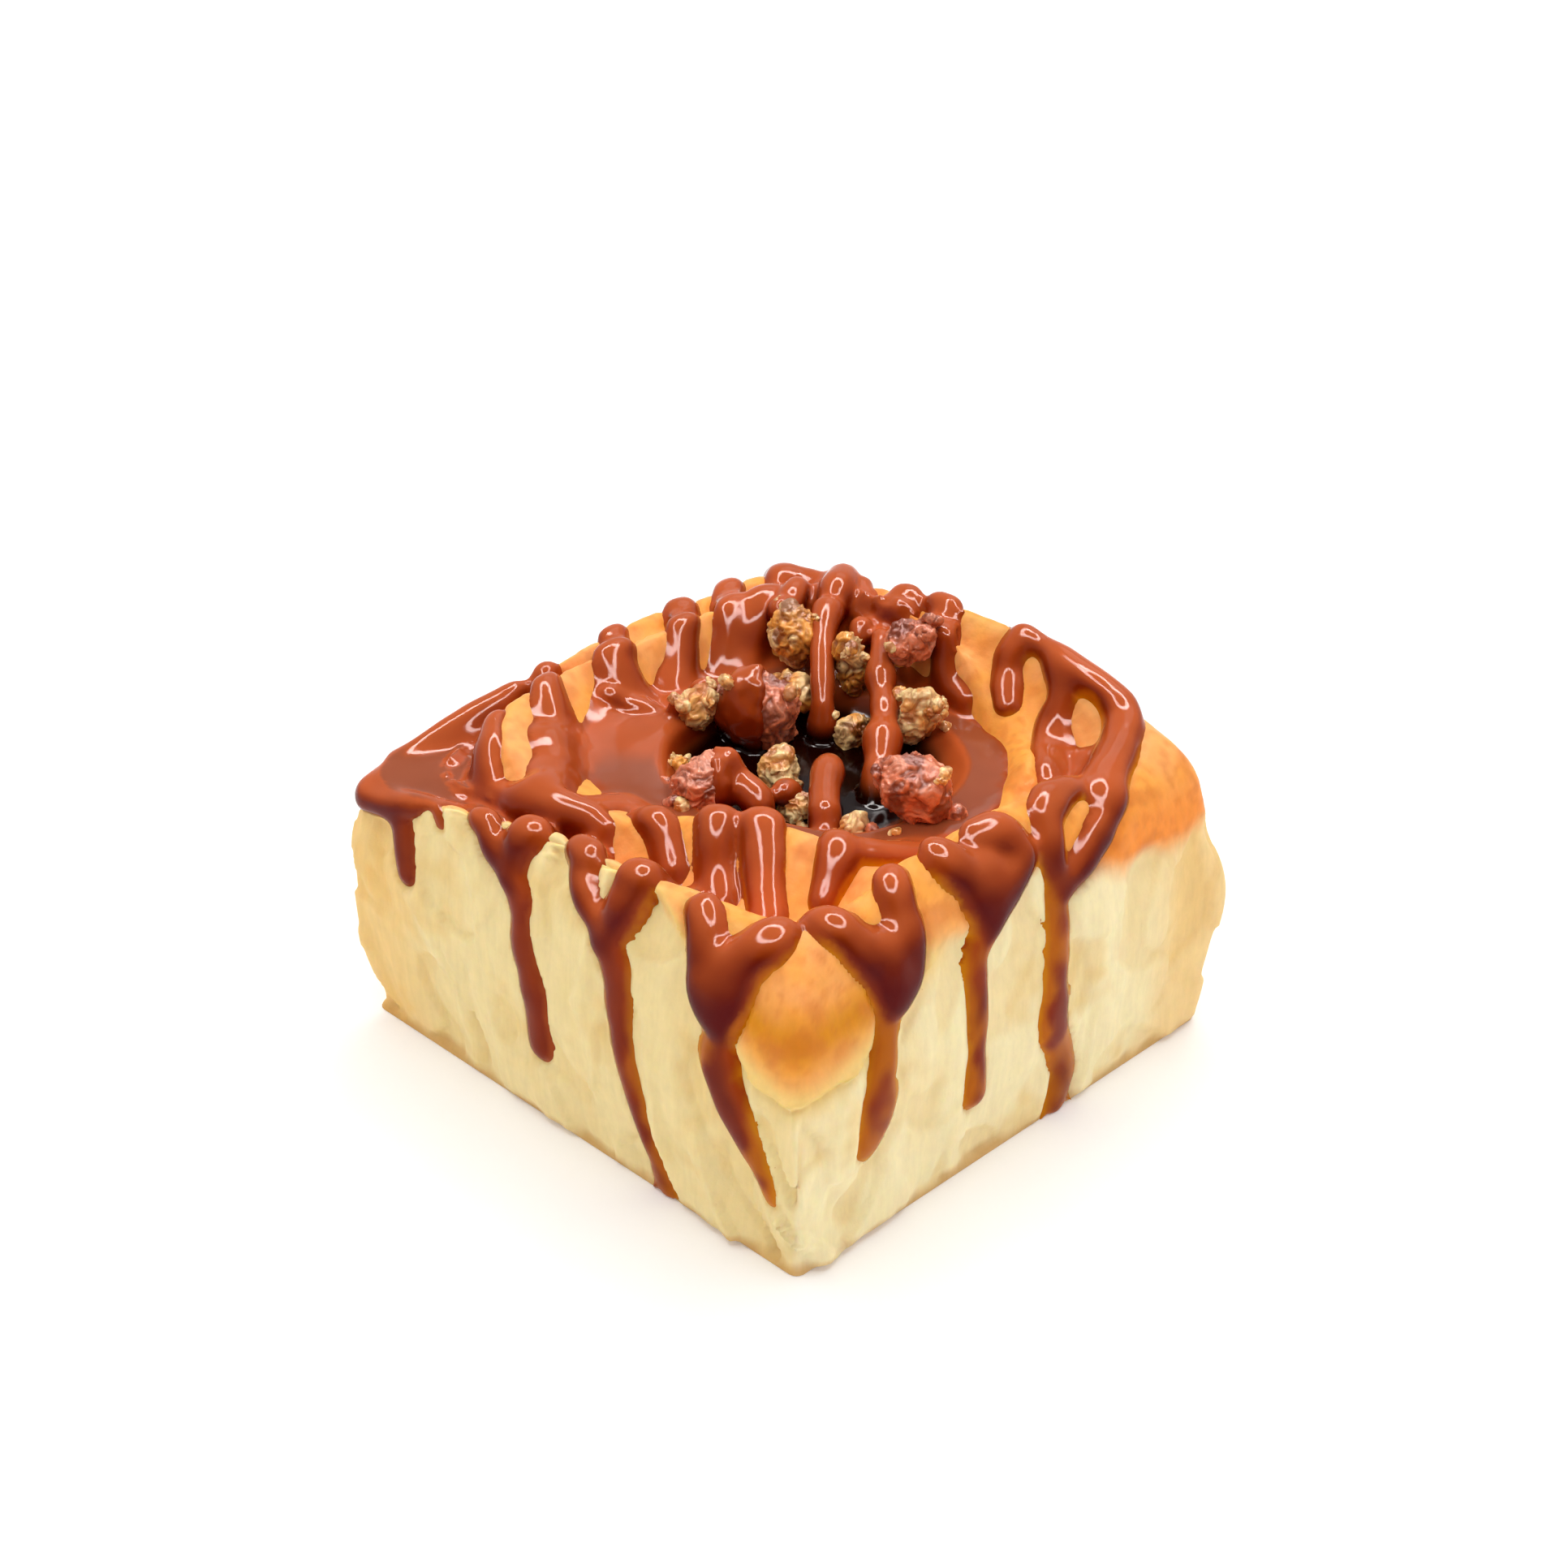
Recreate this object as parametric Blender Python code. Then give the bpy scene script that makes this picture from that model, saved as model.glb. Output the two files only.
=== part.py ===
"""A square walnut roll: coiled sweet dough, poured sauce, and walnut pieces in its basin.

The roll stands on the XY plane with its sides along X and Y. The corner at +X -Y is the one
that the sauce loops hang over. Sizes below are in millimetres and are turned to metres by MM.
"""

import math

import bmesh
import bpy
import numpy as np
from mathutils import Euler, Vector, noise
from mathutils.bvhtree import BVHTree

MM = 0.001

BUN_COLOUR = (0.78, 0.47, 0.2)
BUN_ROUGHNESS = 0.45
WALNUT_COLOUR = (0.4, 0.21, 0.09)
WALNUT_ROUGHNESS = 0.6

# Driving sizes of the dough.
HALF_X = 45.5
HALF_Y = 43.5
BASE_TUCK = 0.3
BASE_RING_SHARE = 0.55
FOOT_TUCK = 0.2
FOOT_HEIGHT = 2.2
SIDE_BULGE = 1.6
MIDDLE_HEIGHT = 23.0
BASE_CORNER = 1.5
SIDE_CORNER = 1.5
SHOULDER_CORNER = 2.5

# Plan centre of the whole as first drawn, which is moved onto the origin at the end.
CENTRE = (-0.14, -0.53)

# Plan centre of the basin that holds the walnuts.
BASIN = (-3.0, 7.0)

# Where the torn side ends: corner-to-corner direction in degrees -> (inset, height).
SHOULDER = {
    -135: (-0.4, 36.5),
    -112: (0.4, 39.5),
    -90: (0.6, 40.5),
    -65: (0.4, 38.5),
    -45: (0.6, 32.0),
    -22: (0.3, 36.0),
    0: (0.3, 38.0),
    25: (0.2, 36.0),
    45: (0.1, 33.5),
    65: (0.3, 36.5),
    90: (0.5, 39.0),
    135: (0.5, 36.0),
    180: (0.5, 38.0),
}
# The rounded brow above it: direction -> (share of the way to the ridge, share of the rise).
BROW = {
    -135: (0.22, 0.80),
    -90: (0.52, 0.72),
    -45: (0.36, 0.68),
    0: (0.45, 0.72),
    25: (0.34, 0.70),
    45: (0.20, 0.64),
    65: (0.32, 0.70),
    90: (0.48, 0.74),
    135: (0.42, 0.74),
    180: (0.50, 0.74),
}

# The coil's ridges and grooves, seen from the basin's centre:
# direction in degrees -> (distance, height).
OUTER_RIDGE = {
    -90: (45.6, 46.0),
    -63: (50.0, 48.0),
    -46: (54.5, 47.5),
    -27: (44.8, 50.0),
    -5: (40.2, 50.3),
    29: (46.0, 47.6),
    38: (48.0, 49.5),
    53: (41.0, 52.2),
    70: (36.5, 53.2),
    85: (33.5, 53.4),
    113: (35.5, 51.5),
    139: (43.5, 48.5),
    165: (38.0, 48.5),
    190: (38.2, 48.5),
    213: (47.5, 44.5),
    229: (62.0, 38.6),
    246: (53.0, 43.5),
}
GROOVE = {
    -90: (40.0, 40.5),
    -65: (39.5, 39.5),
    -46: (44.0, 39.5),
    -27: (38.5, 42.5),
    -5: (36.0, 44.0),
    29: (38.8, 42.0),
    53: (35.0, 46.0),
    85: (29.8, 50.0),
    113: (32.3, 50.0),
    139: (40.0, 47.0),
    165: (35.0, 47.2),
    190: (35.2, 46.8),
    213: (43.6, 42.0),
    229: (52.0, 38.4),
    246: (46.5, 40.0),
}
INNER_RIDGE = {
    -92: (35.0, 45.2),
    -76: (30.5, 46.4),
    -58: (28.6, 46.8),
    -38: (32.0, 46.0),
    -12: (33.0, 42.5),
    15: (33.5, 42.0),
    31: (33.5, 45.0),
    46: (31.8, 43.5),
    66: (28.8, 46.0),
    90: (28.6, 51.5),
    130: (35.5, 50.0),
    178: (32.0, 49.0),
    210: (38.5, 48.6),
    227: (44.0, 48.0),
    247: (41.5, 45.0),
}
BASIN_EDGE = {
    -90: (25.5, 40.6),
    -60: (22.5, 40.2),
    -20: (27.0, 40.6),
    30: (28.5, 40.6),
    60: (26.5, 40.8),
    90: (24.8, 41.8),
    135: (25.5, 41.0),
    180: (25.0, 40.6),
    225: (27.5, 40.6),
}

# The pit that the walnuts lie in, inside the shelf that the sauce pools on.
PIT_EDGE = {
    -90: (22.5, 39.6),
    -60: (19.5, 39.4),
    -20: (24.0, 39.8),
    30: (24.5, 39.8),
    60: (23.0, 39.8),
    90: (22.0, 39.8),
    135: (21.0, 39.6),
    180: (20.0, 39.6),
    225: (22.0, 39.6),
}
PIT_FLOOR_RADIUS = 14.5
PIT_FLOOR_HEIGHT = 35.0
PIT_FLOOR_DIP = 1.0

# Soft lumps that the dough has from the foot up to the inner face of its outer ridge.
LUMP_WIDTH = 17.0
LUMP_DEPTH = 0.8
LUMP_UPRIGHT = 0.6
LUMPS_FROM_HEIGHT = 2.0
LUMPY_RINGS = 15

# Strands of sauce: name -> (radius, start, middle, end). Each of the three is a place on the
# dough: (corner-to-corner direction in degrees, station of the profile that dough_loops gives).
STRANDS = {
    "loop_1_left": (2.2, (-127, 8.2), (-113.5, 6.9), (-104, 4.8)),
    "loop_1_right": (2.2, (-111, 8.4), (-104.6, 6.8), (-104, 4.8)),
    "drip_1": (2.0, (-104, 4.8), (-99.4, 4.2), (-94.5, 3.6)),
    "loop_2_left": (2.3, (-99.5, 8.4), (-88.1, 6.7), (-79, 4.9)),
    "loop_2_right": (2.3, (-70.5, 7.3), (-76.5, 5.9), (-79, 4.9)),
    "drip_2": (2.1, (-79, 4.9), (-72.1, 3.9), (-66.5, 2.8)),
    "loop_3_left": (2.8, (-60, 6.5), (-58, 5.8), (-56, 5.2)),
    "loop_3_right": (2.8, (-48, 6.8), (-53, 5.8), (-55.5, 5.0)),
    "drip_3": (2.2, (-55.5, 5.0), (-52.5, 4.0), (-48.5, 3.5)),
    "loop_4_left": (2.6, (-43.5, 6.9), (-36, 6.1), (-31, 5.3)),
    "loop_4_right": (2.6, (-27.5, 6.8), (-26, 5.7), (-30.5, 5.2)),
    "drip_4": (1.9, (-31, 5.1), (-32.7, 4.2), (-35, 3.7)),
    "loop_5_left": (2.9, (-15.5, 6.7), (-9.1, 5.9), (-6, 5.2)),
    "loop_5_right": (2.9, (-4.5, 6.6), (4.5, 6.0), (-4.5, 5.2)),
    "drip_5": (1.7, (-6.5, 5.1), (-12.4, 4.3), (-12, 3.6)),
    "loop_6_left": (2.3, (12, 6.2), (10.7, 5.6), (12, 5.3)),
    "loop_6_right": (2.4, (28, 6.4), (21.5, 5.5), (12.5, 5.1)),
    "drip_6": (2.1, (11, 5.0), (9.6, 4.0), (13, 3.3)),
    "corner_pool_front": (2.6, (-135.5, 5.9), (-137, 7.2), (-136, 8.2)),
    "corner_drip": (1.8, (-131, 6.6), (-128, 5.2), (-126, 4.4)),
    "corner_pool_side": (3.2, (-136.5, 6.5), (-143.9, 7.3), (-152.5, 7.2)),
    "corner_pool_middle": (3.2, (-134, 7.3), (-141.2, 7.8), (-151, 7.7)),
    "coil_end": (3.1, (-155.5, 7.3), (-139, 8.8), (-126, 8.5)),
    "left_1": (2.4, (-167, 6.2), (-146, 9.3), (-110, 8.9)),
    "left_2": (2.5, (172, 5.6), (183, 8.6), (189.5, 9.7)),
    "left_3": (2.4, (156, 5.6), (160.6, 8.4), (174.5, 9.8)),
    "left_4": (2.5, (145.5, 5.6), (147.5, 8.3), (154, 9.9)),
    "left_5": (2.6, (137.5, 5.6), (136.8, 8.2), (146, 9.6)),
    "back_1": (2.6, (127, 5.5), (124.2, 7.3), (125, 9.5)),
    "back_2": (2.5, (116.5, 5.4), (112.8, 6.4), (110, 9.4)),
    "back_3": (2.7, (101, 5.4), (94.9, 7.1), (83.5, 9.6)),
    "turn_left": (2.2, (81, 5.8), (76, 7.3), (67, 8.6)),
    "turn_right": (2.2, (80, 5.9), (68, 6.6), (59, 7.7)),
    "right_1": (2.1, (59, 6.0), (44, 7.1), (28.5, 6.4)),
    "right_2": (2.1, (58.5, 7.7), (35.9, 8.1), (15.5, 6.6)),
    "lip_1": (2.3, (-95, 9.5), (-86.3, 8.8), (-78, 8.4)),
    "lip_2": (2.3, (-72, 8.9), (-67.3, 8.4), (-63.5, 8.1)),
    "lip_3": (2.3, (-56.5, 8.9), (-54.6, 8.6), (-53, 8.3)),
    "lip_4": (2.2, (-35, 9.0), (-34.9, 8.6), (-38, 8.4)),
    "front_groove": (2.7, (-123, 8.1), (-113.5, 8.5), (-102, 8.8)),
}

# How far a strand's middle lies inside the dough and how thin its ends are, as shares of its
# radius, and how far apart its points are.
STRAND_SUNK = 0.28
STRAND_TIP = 0.65
STRAND_STEP = 3.4
PATH_SAMPLES = 9
CAP_WELD = 0.01

# Walnut pieces in the order that they are laid, each on those before it:
# name -> (centre, full sizes, turns in degrees, seed, detail).
WALNUTS = {
    "walnut_slab": ((-14.9, 9.5, 42.0), (13.0, 9.0, 14.0), (8, -14, 20), 11, 3),
    "walnut_back": ((-22.7, 24.3, 46.0), (8.0, 8.0, 9.0), (10, 20, 140), 19, 3),
    "walnut_right_large": ((19.3, 6.5, 41.0), (12.0, 11.0, 10.0), (15, 20, 70), 12, 3),
    "walnut_left_coated": ((-5.5, -11.2, 40.0), (9.5, 8.5, 9.0), (30, 5, 100), 13, 3),
    "walnut_right_pale": ((3.2, 24.4, 42.0), (6.0, 6.0, 10.5), (12, 0, 40), 14, 3),
    "walnut_middle": ((-5.0, 3.7, 41.0), (8.0, 6.5, 8.0), (0, 25, 150), 15, 3),
    "walnut_back_low": ((-17.0, 19.0, 41.0), (7.0, 6.0, 6.0), (20, 10, 30), 21, 2),
    "walnut_round": ((-5.6, 19.8, 41.0), (5.8, 5.6, 7.0), (0, 10, 60), 16, 2),
    "walnut_front_small": ((3.6, -1.2, 40.0), (5.2, 5.0, 6.4), (5, 12, 10), 17, 2),
    "walnut_left_pale": ((-21.5, 2.5, 41.0), (6.5, 6.0, 7.0), (25, 10, 80), 18, 2),
    "walnut_sliver": ((-12.0, 25.9, 43.0), (4.2, 4.6, 12.0), (4, -6, 20), 20, 2),
    "walnut_back_right": ((-4.4, 30.8, 47.0), (6.8, 6.6, 7.4), (15, 0, 110), 22, 3),
    "walnut_left_bit": ((-16.5, -6.6, 42.0), (4.0, 3.4, 3.2), (0, 20, 30), 23, 2),
    "walnut_lip_bit": ((15.2, -2.0, 42.0), (4.8, 3.6, 3.2), (10, 0, 90), 24, 2),
}
WALNUT_GAP = 0.35
DROP_HEIGHT = 30.0
LIFT_STEP = 0.1

# A piece's soft lumps, and the flat faces that it broke along.
WALNUT_LUMP = 0.16
LUMPS_ACROSS = 1.7
FINE_LUMPS_ACROSS = 4.0
BREAKS = 6
BREAK_DEPTHS = (0.62, 0.86)
BREAK_SPREAD = 0.3
BREAK_EDGE_DEGREES = 35.0

# Mesh density: directions round the roll, and steps along the profile between its stations.
DIRECTIONS = 96
STEPS = (1, 1, 1, 3, 2, 2, 3, 2, 2, 2, 1, 2, 1, 1)


def slopes_without_overshoot(t, values):
    """Tangents for a cubic through the values that keeps each stretch between its two ends."""
    steps = np.diff(t)
    rise = np.diff(values, axis=0) / steps[:, None]
    tangent = np.zeros_like(values)
    left, right = rise[:-1], rise[1:]
    same_way = left * right > 0
    total = np.where(same_way, left + right, 1.0)
    tangent[1:-1] = np.where(same_way, 2 * left * right / total, 0.0)
    tangent[0], tangent[-1] = rise[0], rise[-1]
    return tangent


def cubic(t, values, at):
    """Values of the smooth curve through (t, values) at each place in at."""
    values = np.asarray(values, float)
    tangent = slopes_without_overshoot(t, values)
    k = np.clip(np.searchsorted(t, at, side="right") - 1, 0, len(t) - 2)
    width = (t[k + 1] - t[k])[:, None]
    s = ((at - t[k]) / (t[k + 1] - t[k]))[:, None]
    return (
        (2 * s**3 - 3 * s**2 + 1) * values[k]
        + (s**3 - 2 * s**2 + s) * width * tangent[k]
        + (3 * s**2 - 2 * s**3) * values[k + 1]
        + (s**3 - s**2) * width * tangent[k + 1]
    )


def around(stations, degrees):
    """(radius, height) in each direction, smooth all the way round, from the named stations."""
    keys = sorted(key % 360 for key in stations)
    rows = {key % 360: row for key, row in stations.items()}
    turns = [key + 360 * turn for turn in (-1, 0, 1) for key in keys]
    values = [rows[key] for _ in range(3) for key in keys]
    return cubic(np.array(turns, float), values, np.asarray(degrees, float) % 360)


def box_edge(half_x, half_y, corner, degrees):
    """Distance to the edge of a rectangle with rounded corners, in each direction."""
    turn = np.radians(degrees)
    along, across = np.abs(np.cos(turn)), np.abs(np.sin(turn))
    flat = np.minimum(half_x / np.maximum(along, 1e-9), half_y / np.maximum(across, 1e-9))
    hub_x, hub_y = half_x - corner, half_y - corner
    middle = hub_x * along + hub_y * across
    reach = middle**2 - hub_x**2 - hub_y**2 + corner**2
    arc = middle + np.sqrt(np.maximum(reach, 0.0))
    in_corner = (flat * along > hub_x) & (flat * across > hub_y)
    return np.where(in_corner, arc, flat)


def place(radius, height, degrees, centre=(0.0, 0.0)):
    """Points at a distance from a plan centre, one for each direction."""
    turn = np.radians(degrees)
    return np.stack(
        [
            centre[0] + radius * np.cos(turn),
            centre[1] + radius * np.sin(turn),
            np.broadcast_to(height, turn.shape),
        ],
        axis=1,
    )


def dough_loops(turns):
    """The dough's stations from the middle of its base, up its side, to the basin's centre.

    Turns are corner-to-corner directions: 45, 135, 225 and 315 point at the corners.
    """
    turn = np.radians(turns)
    degrees = np.degrees(np.arctan2(HALF_Y * np.sin(turn), HALF_X * np.cos(turn)))
    base = box_edge(HALF_X - BASE_TUCK, HALF_Y - BASE_TUCK, BASE_CORNER, degrees)
    foot = box_edge(HALF_X - FOOT_TUCK, HALF_Y - FOOT_TUCK, BASE_CORNER, degrees)
    middle = box_edge(HALF_X + SIDE_BULGE, HALF_Y + SIDE_BULGE, SIDE_CORNER, degrees)
    shoulder = around(SHOULDER, turns)
    top = box_edge(HALF_X, HALF_Y, SHOULDER_CORNER, degrees) - shoulder[:, 0]
    top_of_side = place(top, shoulder[:, 1], degrees)
    still = np.zeros_like(degrees)
    across = top_of_side - np.array([BASIN[0], BASIN[1], 0.0])
    inward = np.degrees(np.arctan2(across[:, 1], across[:, 0]))
    outer = around(OUTER_RIDGE, inward)
    groove = around(GROOVE, inward)
    inner = around(INNER_RIDGE, inward)
    edge = around(BASIN_EDGE, inward)
    pit = around(PIT_EDGE, inward)
    ridge = place(outer[:, 0], outer[:, 1], inward, BASIN)
    share = around(BROW, turns)
    brow = top_of_side + share[:, :1] * (ridge - top_of_side)
    brow[:, 2] = shoulder[:, 1] + share[:, 1] * (outer[:, 1] - shoulder[:, 1])
    return [
        place(still, 0.0, degrees),
        place(BASE_RING_SHARE * base, 0.0, degrees),
        place(base, 0.0, degrees),
        place(foot, FOOT_HEIGHT, degrees),
        place(middle, MIDDLE_HEIGHT, degrees),
        top_of_side,
        brow,
        ridge,
        place(groove[:, 0], groove[:, 1], inward, BASIN),
        place(inner[:, 0], inner[:, 1], inward, BASIN),
        place(edge[:, 0], edge[:, 1], inward, BASIN),
        place(pit[:, 0], pit[:, 1], inward, BASIN),
        place(still + PIT_FLOOR_RADIUS, PIT_FLOOR_HEIGHT, inward, BASIN),
        place(still + PIT_FLOOR_RADIUS / 2, PIT_FLOOR_HEIGHT - 0.8 * PIT_FLOOR_DIP, inward, BASIN),
        place(still, PIT_FLOOR_HEIGHT - PIT_FLOOR_DIP, inward, BASIN),
    ]


def lofted(loops, steps):
    """Rings of points through the stations, with the given number of steps in each stretch."""
    stations = np.stack(loops)
    at = [k + i / n for k, n in enumerate(steps) for i in range(n)] + [len(steps)]
    t = np.arange(len(loops), dtype=float)
    flat = stations.reshape(len(loops), -1)
    return cubic(t, flat, np.array(at)).reshape(len(at), -1, 3)


def uneven(point):
    """A small soft lump pushed out of the side, as in dough torn from its neighbours."""
    spot = Vector((point[0], point[1], LUMP_UPRIGHT * point[2])) / LUMP_WIDTH
    return LUMP_DEPTH * noise.noise(spot)


def dough_mesh(name):
    """The bun's mesh: a sphere's net of rings and directions, drawn over the loft."""
    rings = lofted(dough_loops(np.arange(DIRECTIONS) * 360.0 / DIRECTIONS), STEPS)
    last = len(rings) - 1
    built = bmesh.new()
    bmesh.ops.create_uvsphere(
        built, u_segments=DIRECTIONS, v_segments=last, radius=1.0
    )
    for vertex in built.verts:
        ring = round(math.acos(max(-1.0, min(1.0, -vertex.co.z))) / math.pi * last)
        turn = math.degrees(math.atan2(vertex.co.y, vertex.co.x)) % 360
        point = rings[ring][round(turn * DIRECTIONS / 360) % DIRECTIONS]
        if point[2] > LUMPS_FROM_HEIGHT and ring < LUMPY_RINGS:
            outward = Vector((point[0], point[1], 0.0)).normalized()
            point = point + uneven(point) * np.array(outward)
        vertex.co = Vector(point) * MM
    mesh = bpy.data.meshes.new(name)
    built.to_mesh(mesh)
    built.free()
    mesh.shade_smooth()
    return mesh


def on_dough(turns, heights):
    """Points of the smooth dough at each direction and station number."""
    loops = np.stack(dough_loops(np.asarray(turns, float)))
    t = np.arange(len(loops), dtype=float)
    return np.stack(
        [cubic(t, loops[:, k], np.array([at]))[0] for k, at in enumerate(heights)]
    )


def strand_path(start, middle, end):
    """Points, in mm, along the dough from the start through the middle to the end."""
    ways = np.array([start, middle, end], float)
    knots = np.array([0.0, 0.5, 1.0])
    rough = cubic(knots, ways, np.linspace(0.0, 1.0, PATH_SAMPLES))
    length = np.linalg.norm(np.diff(on_dough(*rough.T), axis=0), axis=1).sum()
    steps = max(2, round(length / STRAND_STEP))
    fine = cubic(knots, ways, np.linspace(0.0, 1.0, steps + 1))
    return on_dough(*fine.T)


def strand_curve(name, radius, places, dough):
    """A round tube along the strand's path, moved onto the dough and sunk a little into it."""
    points = strand_path(*places)
    curve = bpy.data.curves.new(name, "CURVE")
    curve.dimensions = "3D"
    curve.bevel_depth = radius * MM
    curve.bevel_resolution = 2
    curve.use_fill_caps = True
    spline = curve.splines.new("POLY")
    spline.points.add(len(points) - 1)
    for knot, point in zip(spline.points, points):
        spot, outward, _, _ = dough.find_nearest(Vector(point) * MM)
        spot -= outward * (STRAND_SUNK * radius * MM)
        knot.co = (spot.x, spot.y, spot.z, 1.0)
    spline.points[0].radius = STRAND_TIP
    spline.points[-1].radius = STRAND_TIP
    return bpy.data.objects.new(name, curve)


def strand_solid(name, radius, places, dough, holder):
    """The closed mesh of one strand, linked to the collection that the bun is joined with."""
    rope = strand_curve(name + "_path", radius, places, dough)
    bpy.context.scene.collection.objects.link(rope)
    bpy.context.view_layer.update()
    evaluated = rope.evaluated_get(bpy.context.evaluated_depsgraph_get())
    mesh = bpy.data.meshes.new_from_object(evaluated)
    built = bmesh.new()
    built.from_mesh(mesh)
    bmesh.ops.remove_doubles(built, verts=built.verts, dist=CAP_WELD * MM)
    bmesh.ops.recalc_face_normals(built, faces=built.faces)
    built.to_mesh(mesh)
    built.free()
    strand = bpy.data.objects.new(name, mesh)
    strand.matrix_world = rope.matrix_world
    bpy.data.objects.remove(rope)
    holder.objects.link(strand)


def join_with(bun, holder):
    """Join the collection's meshes to the bun, then remove them."""
    union = bun.modifiers.new("sauce", "BOOLEAN")
    union.operation = "UNION"
    union.operand_type = "COLLECTION"
    union.collection = holder
    union.solver = "MANIFOLD"
    bpy.ops.object.select_all(action="DESELECT")
    bun.select_set(True)
    bpy.context.view_layer.objects.active = bun
    bpy.ops.object.modifier_apply(modifier=union.name)
    for helper in list(holder.objects):
        bpy.data.objects.remove(helper)
    bpy.data.collections.remove(holder)


def keep_outer_skin(obj):
    """Remove the skins of pockets that the union sealed, and any loose scrap."""
    built = bmesh.new()
    built.from_mesh(obj.data)
    left = set(built.faces)
    skins = []
    while left:
        edge_of_skin = [left.pop()]
        skin = list(edge_of_skin)
        while edge_of_skin:
            face = edge_of_skin.pop()
            plain = [edge for edge in face.edges if len(edge.link_faces) == 2]
            near = {other for edge in plain for other in edge.link_faces} & left
            left -= near
            edge_of_skin.extend(near)
            skin.extend(near)
        skins.append(skin)
    skins.sort(key=len)
    inner = [face for skin in skins[:-1] for face in skin]
    bmesh.ops.delete(built, geom=inner, context="FACES")
    built.to_mesh(obj.data)
    built.free()


def broken_piece(name, sizes, turns, seed, detail):
    """The mesh, about the origin, of a lumpy piece with a few broken faces."""
    chance = np.random.default_rng(seed)
    breaks = chance.normal(size=(BREAKS, 3))
    breaks /= np.linalg.norm(breaks, axis=1, keepdims=True)
    depths = chance.uniform(*BREAK_DEPTHS, BREAKS)
    built = bmesh.new()
    bmesh.ops.create_icosphere(built, subdivisions=detail, radius=1.0)
    points = []
    for vertex in built.verts:
        way = vertex.co.normalized()
        shift = Vector((seed, 0.0, 0.0))
        reach = 1.0 + WALNUT_LUMP * noise.noise(way * LUMPS_ACROSS + shift)
        reach += 0.5 * WALNUT_LUMP * noise.noise(way * FINE_LUMPS_ACROSS + shift)
        facing = breaks @ np.array(way)
        for towards, depth in zip(facing, depths):
            if towards > BREAK_SPREAD:
                reach = min(reach, depth / towards)
        points.append(np.array(way) * reach)
    points = np.array(points)
    points -= (points.max(axis=0) + points.min(axis=0)) / 2
    points *= np.array(sizes) / np.ptp(points, axis=0)
    about = Euler([math.radians(turn) for turn in turns]).to_matrix()
    for vertex, point in zip(built.verts, points):
        vertex.co = about @ Vector(point) * MM
    mesh = bpy.data.meshes.new(name)
    built.to_mesh(mesh)
    built.free()
    mesh.shade_smooth()
    mesh.set_sharp_from_angle(angle=math.radians(BREAK_EDGE_DEGREES))
    return mesh


def surface(mesh, spot):
    """The mesh moved to a spot, as a search tree, and its points, in mm."""
    points = [tuple(vertex.co / MM + spot) for vertex in mesh.vertices]
    faces = [list(face.vertices) for face in mesh.polygons]
    return BVHTree.FromPolygons(points, faces), points


def clearance(piece, others):
    """The shortest way straight down from a piece to the others, or up from them to it."""
    down, up = Vector((0, 0, -1)), Vector((0, 0, 1))
    tree, points = piece
    ways = [(other, Vector(point), down) for other, _ in others for point in points]
    ways += [(tree, Vector(point), up) for _, spots in others for point in spots]
    hits = [at.ray_cast(point, way) for at, point, way in ways]
    return min(hit[3] for hit in hits if hit[0] is not None)


def settled(mesh, centre, others):
    """Where a piece lies: lowered onto what is under it, then lifted clear of everything."""
    spot = Vector(centre)
    spot.z += DROP_HEIGHT
    spot.z -= clearance(surface(mesh, spot), others) - WALNUT_GAP
    while any(surface(mesh, spot)[0].overlap(other) for other, _ in others):
        spot.z += LIFT_STEP
    spot.z += 0.5 * WALNUT_GAP
    return spot


def material(name, colour, roughness):
    """A Principled material for one sub-part."""
    made = bpy.data.materials.new(name)
    made.use_nodes = True
    shader = made.node_tree.nodes["Principled BSDF"]
    shader.inputs["Base Color"].default_value = (*colour, 1.0)
    shader.inputs["Roughness"].default_value = roughness
    shader.inputs["Metallic"].default_value = 0.0
    return made


def make_bun(home):
    """The dough with the sauce joined to it, as the one object of the food that holds together."""
    bun = bpy.data.objects.new("bun", dough_mesh("bun"))
    home.objects.link(bun)
    dough = BVHTree.FromObject(bun, bpy.context.evaluated_depsgraph_get())
    holder = bpy.data.collections.new("sauce_strands")
    bpy.context.scene.collection.children.link(holder)
    for name, (radius, *places) in STRANDS.items():
        strand_solid(name, radius, places, dough, holder)
    join_with(bun, holder)
    keep_outer_skin(bun)
    bun.data.shade_smooth()
    bun.data.materials.clear()
    bun.data.materials.append(material("bun", BUN_COLOUR, BUN_ROUGHNESS))
    return bun


def lay_walnuts(home, bun):
    """The walnut pieces, one object each, laid in the basin one after another."""
    laid = [surface(bun.data, Vector())]
    for name, (centre, sizes, turns, seed, detail) in WALNUTS.items():
        mesh = broken_piece(name, sizes, turns, seed, detail)
        mesh.materials.append(material(name, WALNUT_COLOUR, WALNUT_ROUGHNESS))
        spot = settled(mesh, centre, laid)
        piece = bpy.data.objects.new(name, mesh)
        piece.location = spot * MM
        home.objects.link(piece)
        laid.append(surface(mesh, spot))


def main():
    for old in list(bpy.data.objects):
        bpy.data.objects.remove(old)
    home = bpy.data.collections.new("walnut_roll")
    bpy.context.scene.collection.children.link(home)
    bun = make_bun(home)
    lay_walnuts(home, bun)
    for obj in home.objects:
        obj.location -= Vector((*CENTRE, 0.0)) * MM


main()
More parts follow.
